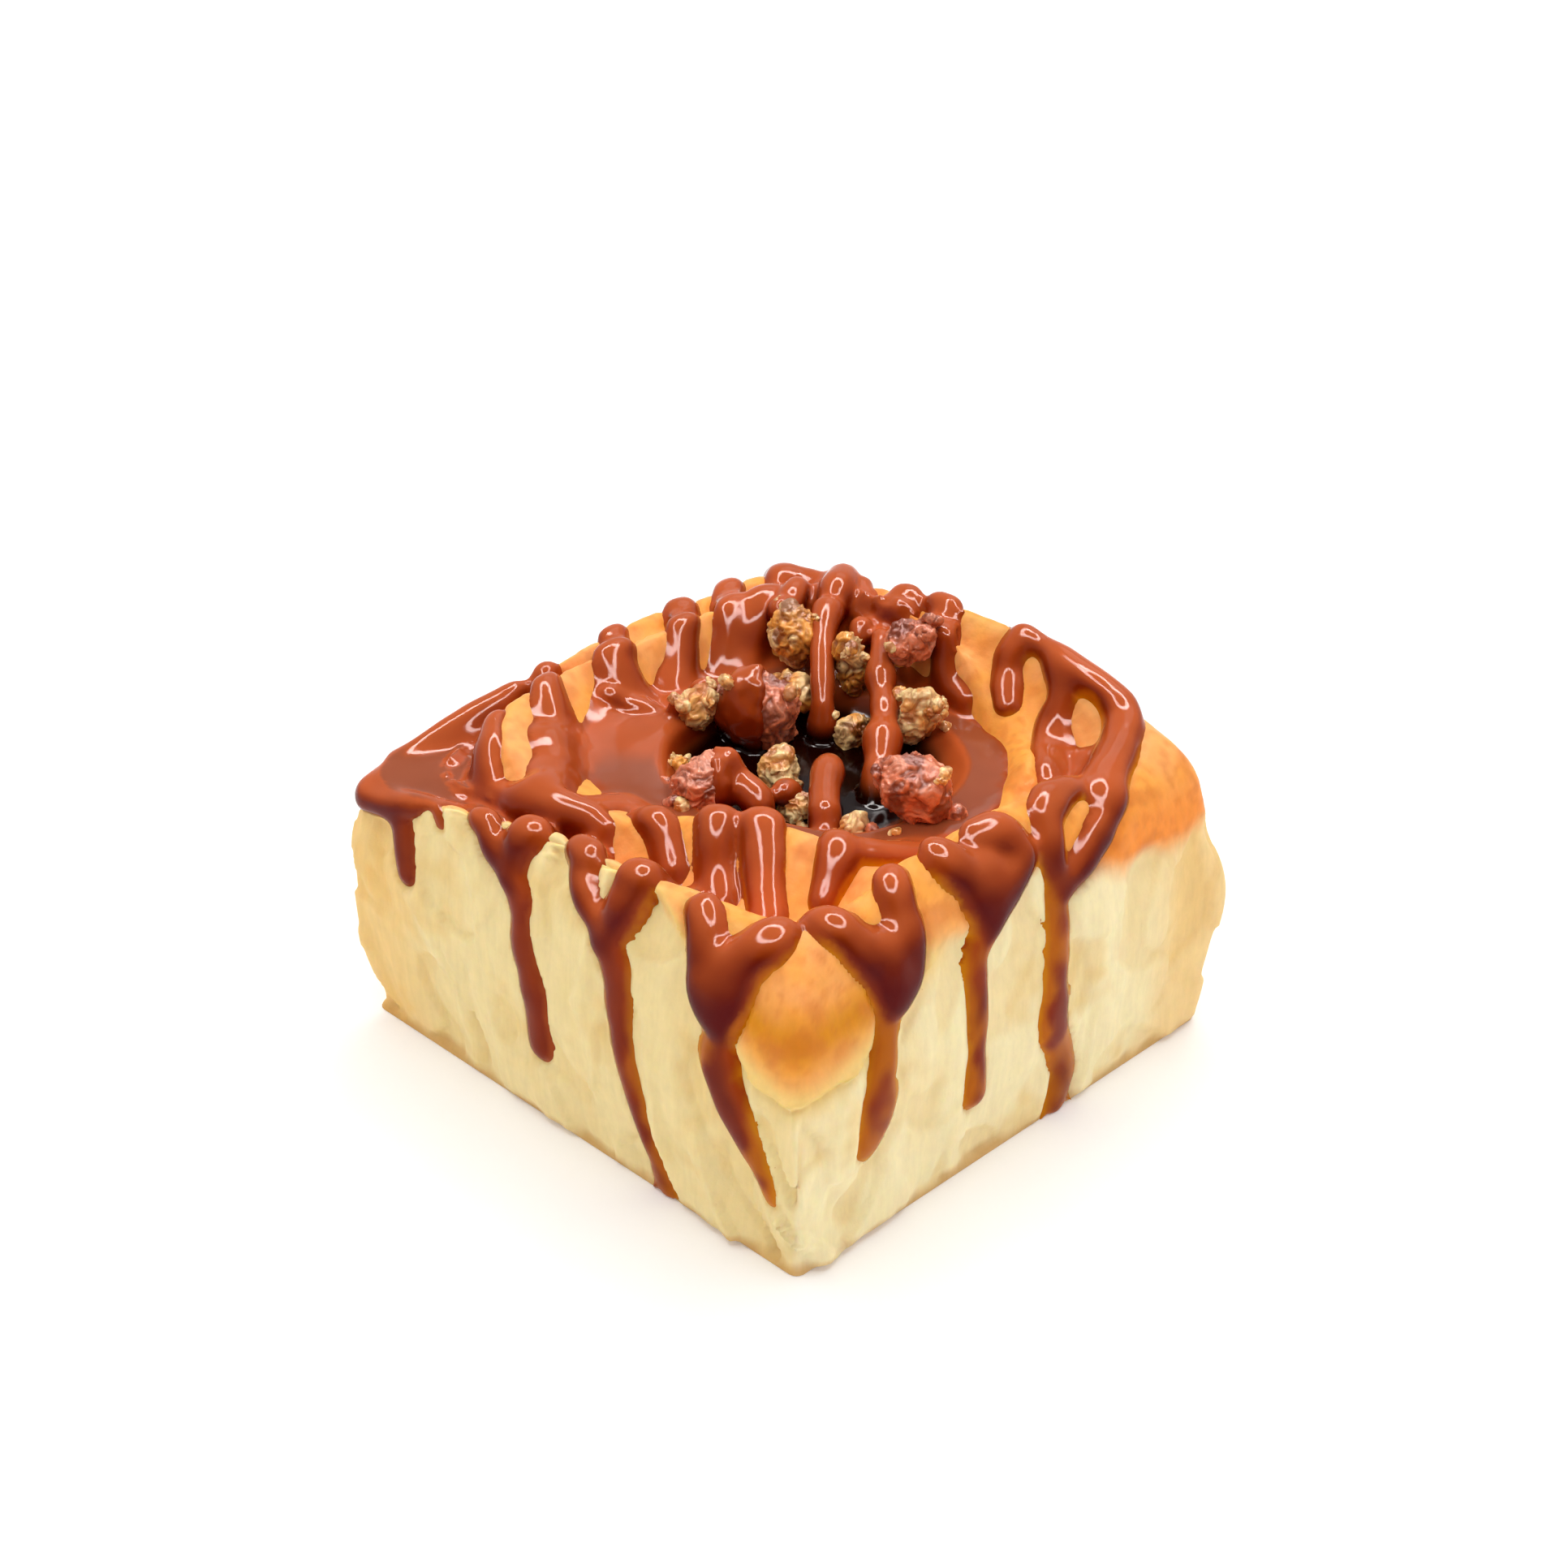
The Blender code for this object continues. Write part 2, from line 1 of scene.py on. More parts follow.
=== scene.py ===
"""Looks of a square walnut roll: torn crumb, golden crust, poured caramel sauce and walnuts.

Lengths are in millimetres and MM turns them to metres. Directions named "turn" run from corner
to corner, so that 45, 135, 225 and 315 point at the roll's corners. A "station" is a place on
the dough's profile: 0 is the middle of the base, 2 the base's edge, 5 the top of the side, 7
the outer ridge, 9 the inner ridge, 10 the basin's edge and 14 the middle of its floor.
"""

import logging
import math
from dataclasses import dataclass, field
from enum import Enum
from typing import Any, Iterable, Optional, Sequence

import bmesh
import bpy
import numpy as np
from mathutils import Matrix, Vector, noise
from mathutils.bvhtree import BVHTree


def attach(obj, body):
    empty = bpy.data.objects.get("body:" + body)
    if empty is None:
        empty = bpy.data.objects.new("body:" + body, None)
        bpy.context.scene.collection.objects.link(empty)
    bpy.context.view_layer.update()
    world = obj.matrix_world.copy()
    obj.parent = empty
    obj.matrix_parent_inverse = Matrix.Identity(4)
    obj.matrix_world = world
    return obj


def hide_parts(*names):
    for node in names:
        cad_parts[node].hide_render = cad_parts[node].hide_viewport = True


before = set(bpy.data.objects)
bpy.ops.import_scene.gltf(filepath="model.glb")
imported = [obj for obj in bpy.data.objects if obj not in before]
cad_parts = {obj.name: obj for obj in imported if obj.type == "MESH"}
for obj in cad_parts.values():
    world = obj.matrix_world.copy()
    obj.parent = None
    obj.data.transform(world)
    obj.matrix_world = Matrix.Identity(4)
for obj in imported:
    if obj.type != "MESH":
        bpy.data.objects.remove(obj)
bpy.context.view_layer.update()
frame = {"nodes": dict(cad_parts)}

MM = 0.001
Array = np.ndarray
Place = tuple[float, float, float]
Stations = dict[int, tuple[float, float]]
log = logging.getLogger("walnut_roll")

# The dough's stations, as the solid has them. Round the side: turn -> (inset, height).
SHOULDER: Stations = {
    -135: (-0.4, 36.5), -112: (0.4, 39.5), -90: (0.6, 40.5), -65: (0.4, 38.5), -45: (0.6, 32.0),
    -22: (0.3, 36.0), 0: (0.3, 38.0), 25: (0.2, 36.0), 45: (0.1, 33.5), 65: (0.3, 36.5),
    90: (0.5, 39.0), 135: (0.5, 36.0), 180: (0.5, 38.0),
}
# Turn -> (share of the way from the side to the outer ridge, share of the rise).
BROW: Stations = {
    -135: (0.22, 0.80), -90: (0.52, 0.72), -45: (0.36, 0.68), 0: (0.45, 0.72), 25: (0.34, 0.70),
    45: (0.20, 0.64), 65: (0.32, 0.70), 90: (0.48, 0.74), 135: (0.42, 0.74), 180: (0.50, 0.74),
}
# Seen from the basin's centre: direction -> (distance, height).
OUTER_RIDGE: Stations = {
    -90: (45.6, 46.0), -63: (50.0, 48.0), -46: (54.5, 47.5), -27: (44.8, 50.0), -5: (40.2, 50.3),
    29: (46.0, 47.6), 38: (48.0, 49.5), 53: (41.0, 52.2), 70: (36.5, 53.2), 85: (33.5, 53.4),
    113: (35.5, 51.5), 139: (43.5, 48.5), 165: (38.0, 48.5), 190: (38.2, 48.5), 213: (47.5, 44.5),
    229: (62.0, 38.6), 246: (53.0, 43.5),
}
GROOVE: Stations = {
    -90: (40.0, 40.5), -65: (39.5, 39.5), -46: (44.0, 39.5), -27: (38.5, 42.5), -5: (36.0, 44.0),
    29: (38.8, 42.0), 53: (35.0, 46.0), 85: (29.8, 50.0), 113: (32.3, 50.0), 139: (40.0, 47.0),
    165: (35.0, 47.2), 190: (35.2, 46.8), 213: (43.6, 42.0), 229: (52.0, 38.4), 246: (46.5, 40.0),
}
INNER_RIDGE: Stations = {
    -92: (35.0, 45.2), -76: (30.5, 46.4), -58: (28.6, 46.8), -38: (32.0, 46.0), -12: (33.0, 42.5),
    15: (33.5, 42.0), 31: (33.5, 45.0), 46: (31.8, 43.5), 66: (28.8, 46.0), 90: (28.6, 51.5),
    130: (35.5, 50.0), 178: (32.0, 49.0), 210: (38.5, 48.6), 227: (44.0, 48.0), 247: (41.5, 45.0),
}
BASIN_EDGE: Stations = {
    -90: (25.5, 40.6), -60: (22.5, 40.2), -20: (27.0, 40.6), 30: (28.5, 40.6), 60: (26.5, 40.8),
    90: (24.8, 41.8), 135: (25.5, 41.0), 180: (25.0, 40.6), 225: (27.5, 40.6),
}
PIT_EDGE: Stations = {
    -90: (22.5, 39.6), -60: (19.5, 39.4), -20: (24.0, 39.8), 30: (24.5, 39.8), 60: (23.0, 39.8),
    90: (22.0, 39.8), 135: (21.0, 39.6), 180: (20.0, 39.6), 225: (22.0, 39.6),
}
# Where the golden crust ends and the torn crumb begins: turn -> (station, softness).
CRUST_EDGE: Stations = {
    -135: (5.8, 0.25), -122: (6.6, 0.3), -105: (7.0, 0.25), -75: (6.9, 0.25), -66: (6.1, 0.3),
    -58: (5.1, 0.1), -45: (4.66, 0.05), -32: (4.9, 0.08), -22: (5.25, 0.2), -5: (5.3, 0.15),
    10: (5.45, 0.2), 22: (5.2, 0.25), 45: (5.0, 0.28), 70: (5.2, 0.28), 90: (5.3, 0.3), 135: (5.3, 0.3),
    180: (5.4, 0.3),
}


def linear(code: str) -> Array:
    """Turns an sRGB hex colour to linear values.

    Args:
        code: Six hex digits after a hash sign.

    Returns:
        Three linear values from 0 to 1.
    """
    value = np.array([int(code[k : k + 2], 16) for k in (1, 3, 5)]) / 255
    return np.where(value <= 0.04045, value / 12.92, ((value + 0.055) / 1.055) ** 2.4)


def step(low: float, high: float, value: Array) -> Array:
    """A smooth rise from 0 at low to 1 at high, or a fall where low is above high."""
    share = np.clip((value - low) / (high - low), 0.0, 1.0)
    return share * share * (3 - 2 * share)


def blend(share: Array, first: Array, second: Array) -> Array:
    """Mixes two colours, or two arrays of them, by a share for each point."""
    return first + (second - first) * share[..., None]


def noise_at(points: Array, size: float, seed: float = 0.0) -> Array:
    """Soft noise at each point.

    Args:
        points: Points in mm, in the last axis.
        size: The width of a lump in mm.
        seed: Moves the pattern.

    Returns:
        Values of about -0.6 to 0.6, in the points' shape.
    """
    spots = points.reshape(-1, 3) / size + seed * np.array([17.3, -9.1, 4.7])
    values = np.array([noise.noise(spot) for spot in spots.tolist()])
    return values.reshape(points.shape[:-1])


def slopes(t: Array, values: Array) -> Array:
    """Tangents that keep a cubic between the two ends of each stretch."""
    rise = np.diff(values, axis=0) / np.diff(t)[:, None]
    tangent = np.zeros_like(values)
    left, right = rise[:-1], rise[1:]
    same_way = left * right > 0
    total = np.where(same_way, left + right, 1.0)
    tangent[1:-1] = np.where(same_way, 2 * left * right / total, 0.0)
    tangent[0], tangent[-1] = rise[0], rise[-1]
    return tangent


def cubic(t: Array, values: Any, at: Array) -> Array:
    """Reads the smooth curve through (t, values).

    Args:
        t: Rising places of the knots.
        values: One row for each knot.
        at: Where to read.

    Returns:
        One row for each place in at.
    """
    values = np.asarray(values, float)
    tangent = slopes(t, values)
    k = np.clip(np.searchsorted(t, at, side="right") - 1, 0, len(t) - 2)
    width = (t[k + 1] - t[k])[:, None]
    s = ((at - t[k]) / (t[k + 1] - t[k]))[:, None]
    return (
        (2 * s**3 - 3 * s**2 + 1) * values[k]
        + (s**3 - 2 * s**2 + s) * width * tangent[k]
        + (3 * s**2 - 2 * s**3) * values[k + 1]
        + (s**3 - s**2) * width * tangent[k + 1]
    )


def around(stations: Stations, degrees: Array) -> Array:
    """Reads a table of pairs by direction, smoothly all the way round."""
    keys = sorted(key % 360 for key in stations)
    rows = {key % 360: row for key, row in stations.items()}
    turns = [key + 360 * turn for turn in (-1, 0, 1) for key in keys]
    values = [rows[key] for _ in range(3) for key in keys]
    return cubic(np.array(turns, float), values, np.asarray(degrees, float) % 360)


def box_edge(half_x: float, half_y: float, corner: float, degrees: Array) -> Array:
    """Distance to the edge of a rectangle with rounded corners, in each direction."""
    turn = np.radians(degrees)
    along, across = np.abs(np.cos(turn)), np.abs(np.sin(turn))
    flat = np.minimum(half_x / np.maximum(along, 1e-9), half_y / np.maximum(across, 1e-9))
    hub_x, hub_y = half_x - corner, half_y - corner
    middle = hub_x * along + hub_y * across
    reach = middle**2 - hub_x**2 - hub_y**2 + corner**2
    arc = middle + np.sqrt(np.maximum(reach, 0.0))
    in_corner = (flat * along > hub_x) & (flat * across > hub_y)
    return np.where(in_corner, arc, flat)


def place(radius: Any, height: Any, degrees: Array, centre: Sequence[float]) -> Array:
    """Points at a distance from a plan centre, one for each direction."""
    turn = np.radians(degrees)
    x = centre[0] + radius * np.cos(turn)
    y = centre[1] + radius * np.sin(turn)
    return np.stack([x, y, np.broadcast_to(height, turn.shape)], axis=1)


@dataclass(frozen=True)
class DoughForm:
    """The smooth form of the dough, with the sizes that its solid has."""

    half_x: float = 45.5
    half_y: float = 43.5
    base_tuck: float = 0.3
    base_ring_share: float = 0.55
    foot_tuck: float = 0.2
    foot_height: float = 2.2
    side_bulge: float = 1.6
    middle_height: float = 23.0
    side_corner: float = 1.5
    shoulder_corner: float = 2.5
    basin: tuple[float, float] = (-3.0, 7.0)
    pit_radius: float = 14.5
    pit_height: float = 35.0
    pit_dip: float = 1.0
    centre: tuple[float, float] = (-0.14, -0.53)

    def inward(self, turns: Array) -> Array:
        """The direction, from the basin's centre, of the top of the side at each turn."""
        across = self.top_of_side(turns)[:, :2] - np.array(self.basin)
        return np.degrees(np.arctan2(across[:, 1], across[:, 0]))

    def degrees(self, turns: Array) -> Array:
        """Plan directions from the roll's middle for corner-to-corner turns."""
        turn = np.radians(turns)
        return np.degrees(np.arctan2(self.half_y * np.sin(turn), self.half_x * np.cos(turn)))

    def top_of_side(self, turns: Array) -> Array:
        """Points where the torn side ends, one for each turn."""
        shoulder = around(SHOULDER, turns)
        degrees = self.degrees(turns)
        edge = box_edge(self.half_x, self.half_y, self.shoulder_corner, degrees)
        return place(edge - shoulder[:, 0], shoulder[:, 1], degrees, (0.0, 0.0))

    def loops(self, turns: Array) -> Array:
        """The dough's stations.

        Args:
            turns: Corner-to-corner directions in degrees.

        Returns:
            Points in mm: fifteen stations, one point for each turn.
        """
        degrees, inward = self.degrees(turns), self.inward(turns)
        middle, basin = (0.0, 0.0), self.basin
        still = np.zeros_like(degrees)
        size_x, size_y, tuck = self.half_x, self.half_y, self.base_tuck
        base = box_edge(size_x - tuck, size_y - tuck, self.side_corner, degrees)
        tuck = self.foot_tuck
        foot = box_edge(size_x - tuck, size_y - tuck, self.side_corner, degrees)
        bulge = self.side_bulge
        waist = box_edge(size_x + bulge, size_y + bulge, self.side_corner, degrees)
        top_of_side = self.top_of_side(turns)
        outer = around(OUTER_RIDGE, inward)
        ridge = place(outer[:, 0], outer[:, 1], inward, basin)
        share = around(BROW, turns)
        brow = top_of_side + share[:, :1] * (ridge - top_of_side)
        brow[:, 2] = top_of_side[:, 2] + share[:, 1] * (outer[:, 1] - top_of_side[:, 2])
        rounds = [around(t, inward) for t in (GROOVE, INNER_RIDGE, BASIN_EDGE, PIT_EDGE)]
        low, dip, reach = self.pit_height, self.pit_dip, self.pit_radius
        return np.stack(
            [
                place(still, 0.0, degrees, middle),
                place(self.base_ring_share * base, 0.0, degrees, middle),
                place(base, 0.0, degrees, middle),
                place(foot, self.foot_height, degrees, middle),
                place(waist, self.middle_height, degrees, middle),
                top_of_side,
                brow,
                ridge,
                *[place(row[:, 0], row[:, 1], inward, basin) for row in rounds],
                place(still + reach, low, inward, basin),
                place(still + reach / 2, low - 0.8 * dip, inward, basin),
                place(still, low - dip, inward, basin),
            ]
        )

    def on_dough(self, turns: Array, stations: Array) -> Array:
        """Points of the smooth dough, in the row's frame, one for each pair."""
        loops = self.loops(np.asarray(turns, float))
        t = np.arange(len(loops), dtype=float)
        rows = [cubic(t, loops[:, k], np.array([at]))[0] for k, at in enumerate(stations)]
        return np.stack(rows) - np.array([*self.centre, 0.0])


@dataclass
class DoughNet:
    """A fine net over the dough: rings up the profile, columns round the roll."""

    form: DoughForm
    # Rings between each station and the next, closest where the surface turns most.
    steps: tuple[int, ...] = (5, 10, 4, 36, 26, 15, 15, 16, 16, 15, 8, 11, 8, 5)
    columns: int = 520
    lump_width: float = 17.0
    lump_depth: float = 0.8
    lump_upright: float = 0.6
    weld_mm: float = 0.001
    turns: Array = field(init=False)
    stations: Array = field(init=False)
    points: Array = field(init=False)
    normals: Array = field(init=False)
    inward: Array = field(init=False)

    def __post_init__(self) -> None:
        """Works out the net's points, normals and places."""
        form = self.form
        eighth = np.arange(self.columns) * 8.0 / self.columns
        side = np.floor((eighth + 1) / 2)
        self.turns = np.degrees(np.arctan(eighth - 2 * side)) + 90.0 * side
        at = [k + i / n for k, n in enumerate(self.steps) for i in range(n)]
        self.stations = np.array(at + [len(self.steps)], float)
        loops = form.loops(self.turns)
        flat = loops.reshape(len(loops), -1)
        smooth = cubic(np.arange(len(loops), dtype=float), flat, self.stations)
        smooth = smooth.reshape(len(self.stations), self.columns, 3)
        spot = smooth * np.array([1.0, 1.0, self.lump_upright])
        lump = self.lump_depth * noise_at(spot, self.lump_width)
        lump *= step(0.5, 5.0, smooth[..., 2]) * step(7.6, 6.6, self.stations)[:, None]
        out = smooth * np.array([1.0, 1.0, 0.0])
        out /= np.maximum(np.linalg.norm(out, axis=2, keepdims=True), 1e-6)
        smooth = smooth + out * lump[..., None]
        self.points = smooth - np.array([*form.centre, 0.0])
        self.normals = self.normals_of(self.points)
        self.inward = form.inward(self.turns)

    @staticmethod
    def normals_of(points: Array) -> Array:
        """Outward unit normals of a net of points."""
        round_way = np.roll(points, -1, axis=1) - np.roll(points, 1, axis=1)
        normals = np.cross(round_way, np.gradient(points, axis=0))
        normals[0], normals[-1] = (0.0, 0.0, -1.0), (0.0, 0.0, 1.0)
        length = np.linalg.norm(normals, axis=2, keepdims=True)
        return normals / np.maximum(length, 1e-9)

    def cast(self, name: str, points: Array, values: dict[str, Array]) -> bpy.types.Object:
        """Makes a mesh of the net: a flat grid laid over it and welded at its seam and poles.

        Args:
            name: The new object's name.
            points: Where the net's points go, in mm.
            values: Numbers or colours for each point, by the name of their attribute.

        Returns:
            The object.
        """
        last = len(self.stations) - 1
        bpy.ops.mesh.primitive_grid_add(x_subdivisions=self.columns, y_subdivisions=last, size=2.0)
        sheet = bpy.context.object
        sheet.name = sheet.data.name = name
        flat = np.empty(len(sheet.data.vertices) * 3)
        sheet.data.vertices.foreach_get("co", flat)
        flat = flat.reshape(-1, 3)
        column = np.rint((flat[:, 0] + 1) / 2 * self.columns).astype(int) % self.columns
        ring = np.rint((flat[:, 1] + 1) / 2 * last).astype(int)
        move_vertices(sheet.data, points[ring, column])
        for label, value in values.items():
            put_values(sheet.data, value[ring, column], label)
        built = bmesh.new()
        built.from_mesh(sheet.data)
        bmesh.ops.remove_doubles(built, verts=built.verts, dist=self.weld_mm * MM)
        built.to_mesh(sheet.data)
        built.free()
        bpy.ops.object.shade_smooth()
        return sheet


def put_values(mesh: bpy.types.Mesh, values: Array, name: str) -> None:
    """Writes a number or a linear colour on each vertex, for a material to read by name."""
    if values.ndim == 1:
        layer = mesh.attributes.new(name, "FLOAT", "POINT")
        layer.data.foreach_set("value", values.astype(np.float32))
        return
    layer = mesh.attributes.new(name, "FLOAT_COLOR", "POINT")
    rows = np.ones((len(values), 4), np.float32)
    rows[:, :3] = np.clip(values, 0.0, 1.0)
    layer.data.foreach_set("color", rows.ravel())


def vertices_of(mesh: bpy.types.Mesh) -> tuple[Array, Array]:
    """The mesh's points, in mm, and its vertex normals."""
    points = np.empty(len(mesh.vertices) * 3)
    mesh.vertices.foreach_get("co", points)
    normals = np.empty(len(mesh.vertices) * 3)
    mesh.vertex_normals.foreach_get("vector", normals)
    return points.reshape(-1, 3) / MM, normals.reshape(-1, 3)


def move_vertices(mesh: bpy.types.Mesh, points: Array) -> None:
    """Moves the mesh's vertices to points in mm."""
    mesh.vertices.foreach_set("co", (points * MM).ravel())
    mesh.update()


def select_only(*objects: bpy.types.Object) -> None:
    """Selects these objects and no other, and makes the first the active one."""
    for other in bpy.context.selected_objects:
        other.select_set(False)
    for piece in objects:
        piece.select_set(True)
    bpy.context.view_layer.objects.active = objects[0]


def apply_modifier(piece: bpy.types.Object, kind: str, **settings: Any) -> None:
    """Adds a modifier with its settings to a piece and applies it."""
    modifier = piece.modifiers.new(kind.lower(), kind)
    for name, value in settings.items():
        setattr(modifier, name, value)
    select_only(piece)
    bpy.ops.object.modifier_apply(modifier=modifier.name)


def add_node(
    tree: bpy.types.NodeTree, kind: str, settings: Optional[dict] = None, links: Optional[dict] = None,
) -> bpy.types.Node:
    """Adds a shader node.

    Args:
        tree: The material's node tree.
        kind: The node's type name.
        settings: Properties by name, and input values by the input's name or number.
        links: What feeds each input, by its name or number: a socket, or a node for its first.

    Returns:
        The new node.
    """
    node = tree.nodes.new(kind)
    for key, value in (settings or {}).items():
        if isinstance(key, str) and hasattr(node, key):
            setattr(node, key, value)
        else:
            node.inputs[key].default_value = value
    for key, source in (links or {}).items():
        socket = source.outputs[0] if isinstance(source, bpy.types.Node) else source
        tree.links.new(socket, node.inputs[key])
    return node


def bare_material(name: str) -> tuple[bpy.types.Material, bpy.types.NodeTree]:
    """A material with an empty node tree."""
    made = bpy.data.materials.new(name)
    made.use_nodes = True
    made.node_tree.nodes.clear()
    return made, made.node_tree


@dataclass(frozen=True)
class BakedDough:
    """Soft enriched bread: a matt, fibrous, slightly translucent crumb and a satin crust."""

    fibre_mm: float = 0.55
    fibre_length_mm: float = 3.2
    mottle_mm: float = 1.6
    pore_mm: float = 3.4
    roughness: float = 0.62
    crust_roughness: float = 0.42
    mirror: float = 0.15
    glow: float = 0.35
    glow_reach: Place = (1.0, 0.5, 0.15)
    glow_mm: float = 1.3
    fibre_lean: float = -14.0
    # Painted shade: the colour of the dark marks in the dough's pores.
    pore_shade: str = "#8A5A26"
    emboss_mm: float = 0.5

    def build(self) -> bpy.types.Material:
        """Returns the material."""
        made, tree = bare_material("baked_dough")
        where = add_node(tree, "ShaderNodeTexCoord")
        tint = add_node(tree, "ShaderNodeAttribute", {"attribute_name": "tint"})
        crust = add_node(tree, "ShaderNodeAttribute", {"attribute_name": "crust"})
        stretch = self.fibre_mm / self.fibre_length_mm
        pulled = add_node(
            tree, "ShaderNodeMapping",
            {"Scale": (1.0, 1.0, stretch), "Rotation": (0.0, math.radians(self.fibre_lean), 0.0)},
            {"Vector": where.outputs["Object"]},
        )
        fibre = add_node(
            tree, "ShaderNodeTexNoise",
            {"Scale": 1 / (self.fibre_mm * MM * 2), "Detail": 4.0, "Roughness": 0.6},
            {"Vector": pulled},
        )
        mottle = add_node(
            tree, "ShaderNodeTexNoise",
            {"Scale": 1 / (self.mottle_mm * MM * 2), "Detail": 5.0, "Roughness": 0.65},
            {"Vector": where.outputs["Object"]},
        )
        pores = add_node(
            tree, "ShaderNodeTexVoronoi", {"Scale": 1 / (self.pore_mm * MM)},
            {"Vector": where.outputs["Object"]},
        )
        # Painted shade: rare dark marks where small pores would hold shade; the mesh has no such holes.
        pore_shade = add_node(
            tree, "ShaderNodeMapRange",
            {"From Min": 0.03, "From Max": 0.09, "To Min": 0.55, "To Max": 0.0},
            {0: pores.outputs["Distance"]},
        )
        rare = add_node(
            tree, "ShaderNodeMapRange",
            {"From Min": 0.62, "From Max": 0.66, "To Min": 0.0, "To Max": 1.0}, {0: mottle},
        )
        pore_shades = add_node(tree, "ShaderNodeMath", {"operation": "MULTIPLY"}, {0: pore_shade, 1: rare})
        shade = add_node(
            tree, "ShaderNodeMapRange",
            {"From Min": 0.3, "From Max": 0.7, "To Min": 0.96, "To Max": 1.03}, {0: mottle},
        )
        lined = add_node(
            tree, "ShaderNodeMapRange",
            {"From Min": 0.3, "From Max": 0.7, "To Min": 0.96, "To Max": 1.03}, {0: fibre},
        )
        both = add_node(tree, "ShaderNodeMath", {"operation": "MULTIPLY"}, {0: shade, 1: lined})
        toned = add_node(tree, "ShaderNodeVectorMath", {"operation": "SCALE"}, {0: tint, "Scale": both})
        colour = add_node(
            tree, "ShaderNodeMix", {"data_type": "RGBA", 7: (*linear(self.pore_shade), 1.0)},
            {0: pore_shades, 6: toned},
        )
        rough = add_node(
            tree, "ShaderNodeMapRange", {"To Min": self.roughness, "To Max": self.crust_roughness},
            {0: crust.outputs["Fac"]},
        )
        fine = add_node(
            tree, "ShaderNodeMapRange", {"To Min": 0.55, "To Max": 0.12}, {0: crust.outputs["Fac"]},
        )
        rise = add_node(tree, "ShaderNodeMath", {"operation": "MULTIPLY"}, {0: fibre, 1: fine})
        relief = add_node(tree, "ShaderNodeMath", {"operation": "ADD"}, {0: rise, 1: mottle})
        bump = add_node(
            tree, "ShaderNodeBump", {"Strength": 0.35, "Distance": self.emboss_mm * MM},
            {"Height": relief},
        )
        shader = add_node(
            tree, "ShaderNodeBsdfPrincipled",
            {
                "Subsurface Weight": self.glow, "Subsurface Radius": self.glow_reach,
                "Subsurface Scale": self.glow_mm * MM, "Specular IOR Level": self.mirror,
            },
            {"Base Color": colour.outputs[2], "Roughness": rough, "Normal": bump},
        )
        add_node(tree, "ShaderNodeOutputMaterial", None, {0: shader})
        return made


@dataclass(frozen=True)
class TonedFinish:
    """A finish with one noise, which tones the colours of the mesh and embosses the surface."""

    name: str
    lump_mm: float
    detail: float
    grit: float
    tones: tuple[float, float]
    emboss: float
    emboss_mm: float
    roughness: float
    mirror: float
    glow: float
    glow_reach: Place
    glow_mm: float
    coat: float = 0.0
    coat_roughness: float = 0.03

    def build(self) -> bpy.types.Material:
        """Returns the material."""
        made, tree = bare_material(self.name)
        where = add_node(tree, "ShaderNodeTexCoord")
        tint = add_node(tree, "ShaderNodeAttribute", {"attribute_name": "tint"})
        lumps = add_node(
            tree, "ShaderNodeTexNoise",
            {"Scale": 1 / (self.lump_mm * MM * 2), "Detail": self.detail, "Roughness": self.grit},
            {"Vector": where.outputs["Object"]},
        )
        low, high = self.tones
        shade = add_node(
            tree, "ShaderNodeMapRange",
            {"From Min": 0.3, "From Max": 0.7, "To Min": low, "To Max": high}, {0: lumps},
        )
        toned = add_node(
            tree, "ShaderNodeVectorMath", {"operation": "SCALE"}, {0: tint, "Scale": shade},
        )
        bump = add_node(
            tree, "ShaderNodeBump", {"Strength": self.emboss, "Distance": self.emboss_mm * MM},
            {"Height": lumps},
        )
        shader = add_node(
            tree, "ShaderNodeBsdfPrincipled",
            {
                "Roughness": self.roughness, "Specular IOR Level": self.mirror,
                "Subsurface Weight": self.glow, "Subsurface Radius": self.glow_reach,
                "Subsurface Scale": self.glow_mm * MM, "Coat Weight": self.coat,
                "Coat Roughness": self.coat_roughness,
            },
            {"Base Color": toned, "Normal": bump},
        )
        add_node(tree, "ShaderNodeOutputMaterial", None, {0: shader})
        return made


@dataclass(frozen=True)
class CaramelSauce(TonedFinish):
    """Poured chocolate caramel: smooth, thick, wet to the eye, and amber where it is thin."""

    name: str = "caramel_sauce"
    lump_mm: float = 5.0
    detail: float = 2.0
    grit: float = 0.5
    tones: tuple[float, float] = (0.9, 1.08)
    emboss: float = 0.25
    emboss_mm: float = 0.8
    roughness: float = 0.12
    mirror: float = 0.1
    glow: float = 0.06
    glow_reach: Place = (1.0, 0.2, 0.04)
    glow_mm: float = 1.0


@dataclass(frozen=True)
class WalnutMeat(TonedFinish):
    """Toasted walnut kernel: thin wrinkled skin over a waxy, pale, broken inside."""

    name: str = "walnut_meat"
    lump_mm: float = 0.45
    detail: float = 4.0
    grit: float = 0.65
    tones: tuple[float, float] = (0.86, 1.1)
    emboss: float = 0.6
    emboss_mm: float = 0.4
    roughness: float = 0.34
    mirror: float = 0.3
    glow: float = 0.1
    glow_reach: Place = (1.0, 0.5, 0.2)
    glow_mm: float = 0.8
    coat: float = 0.1
    coat_roughness: float = 0.12


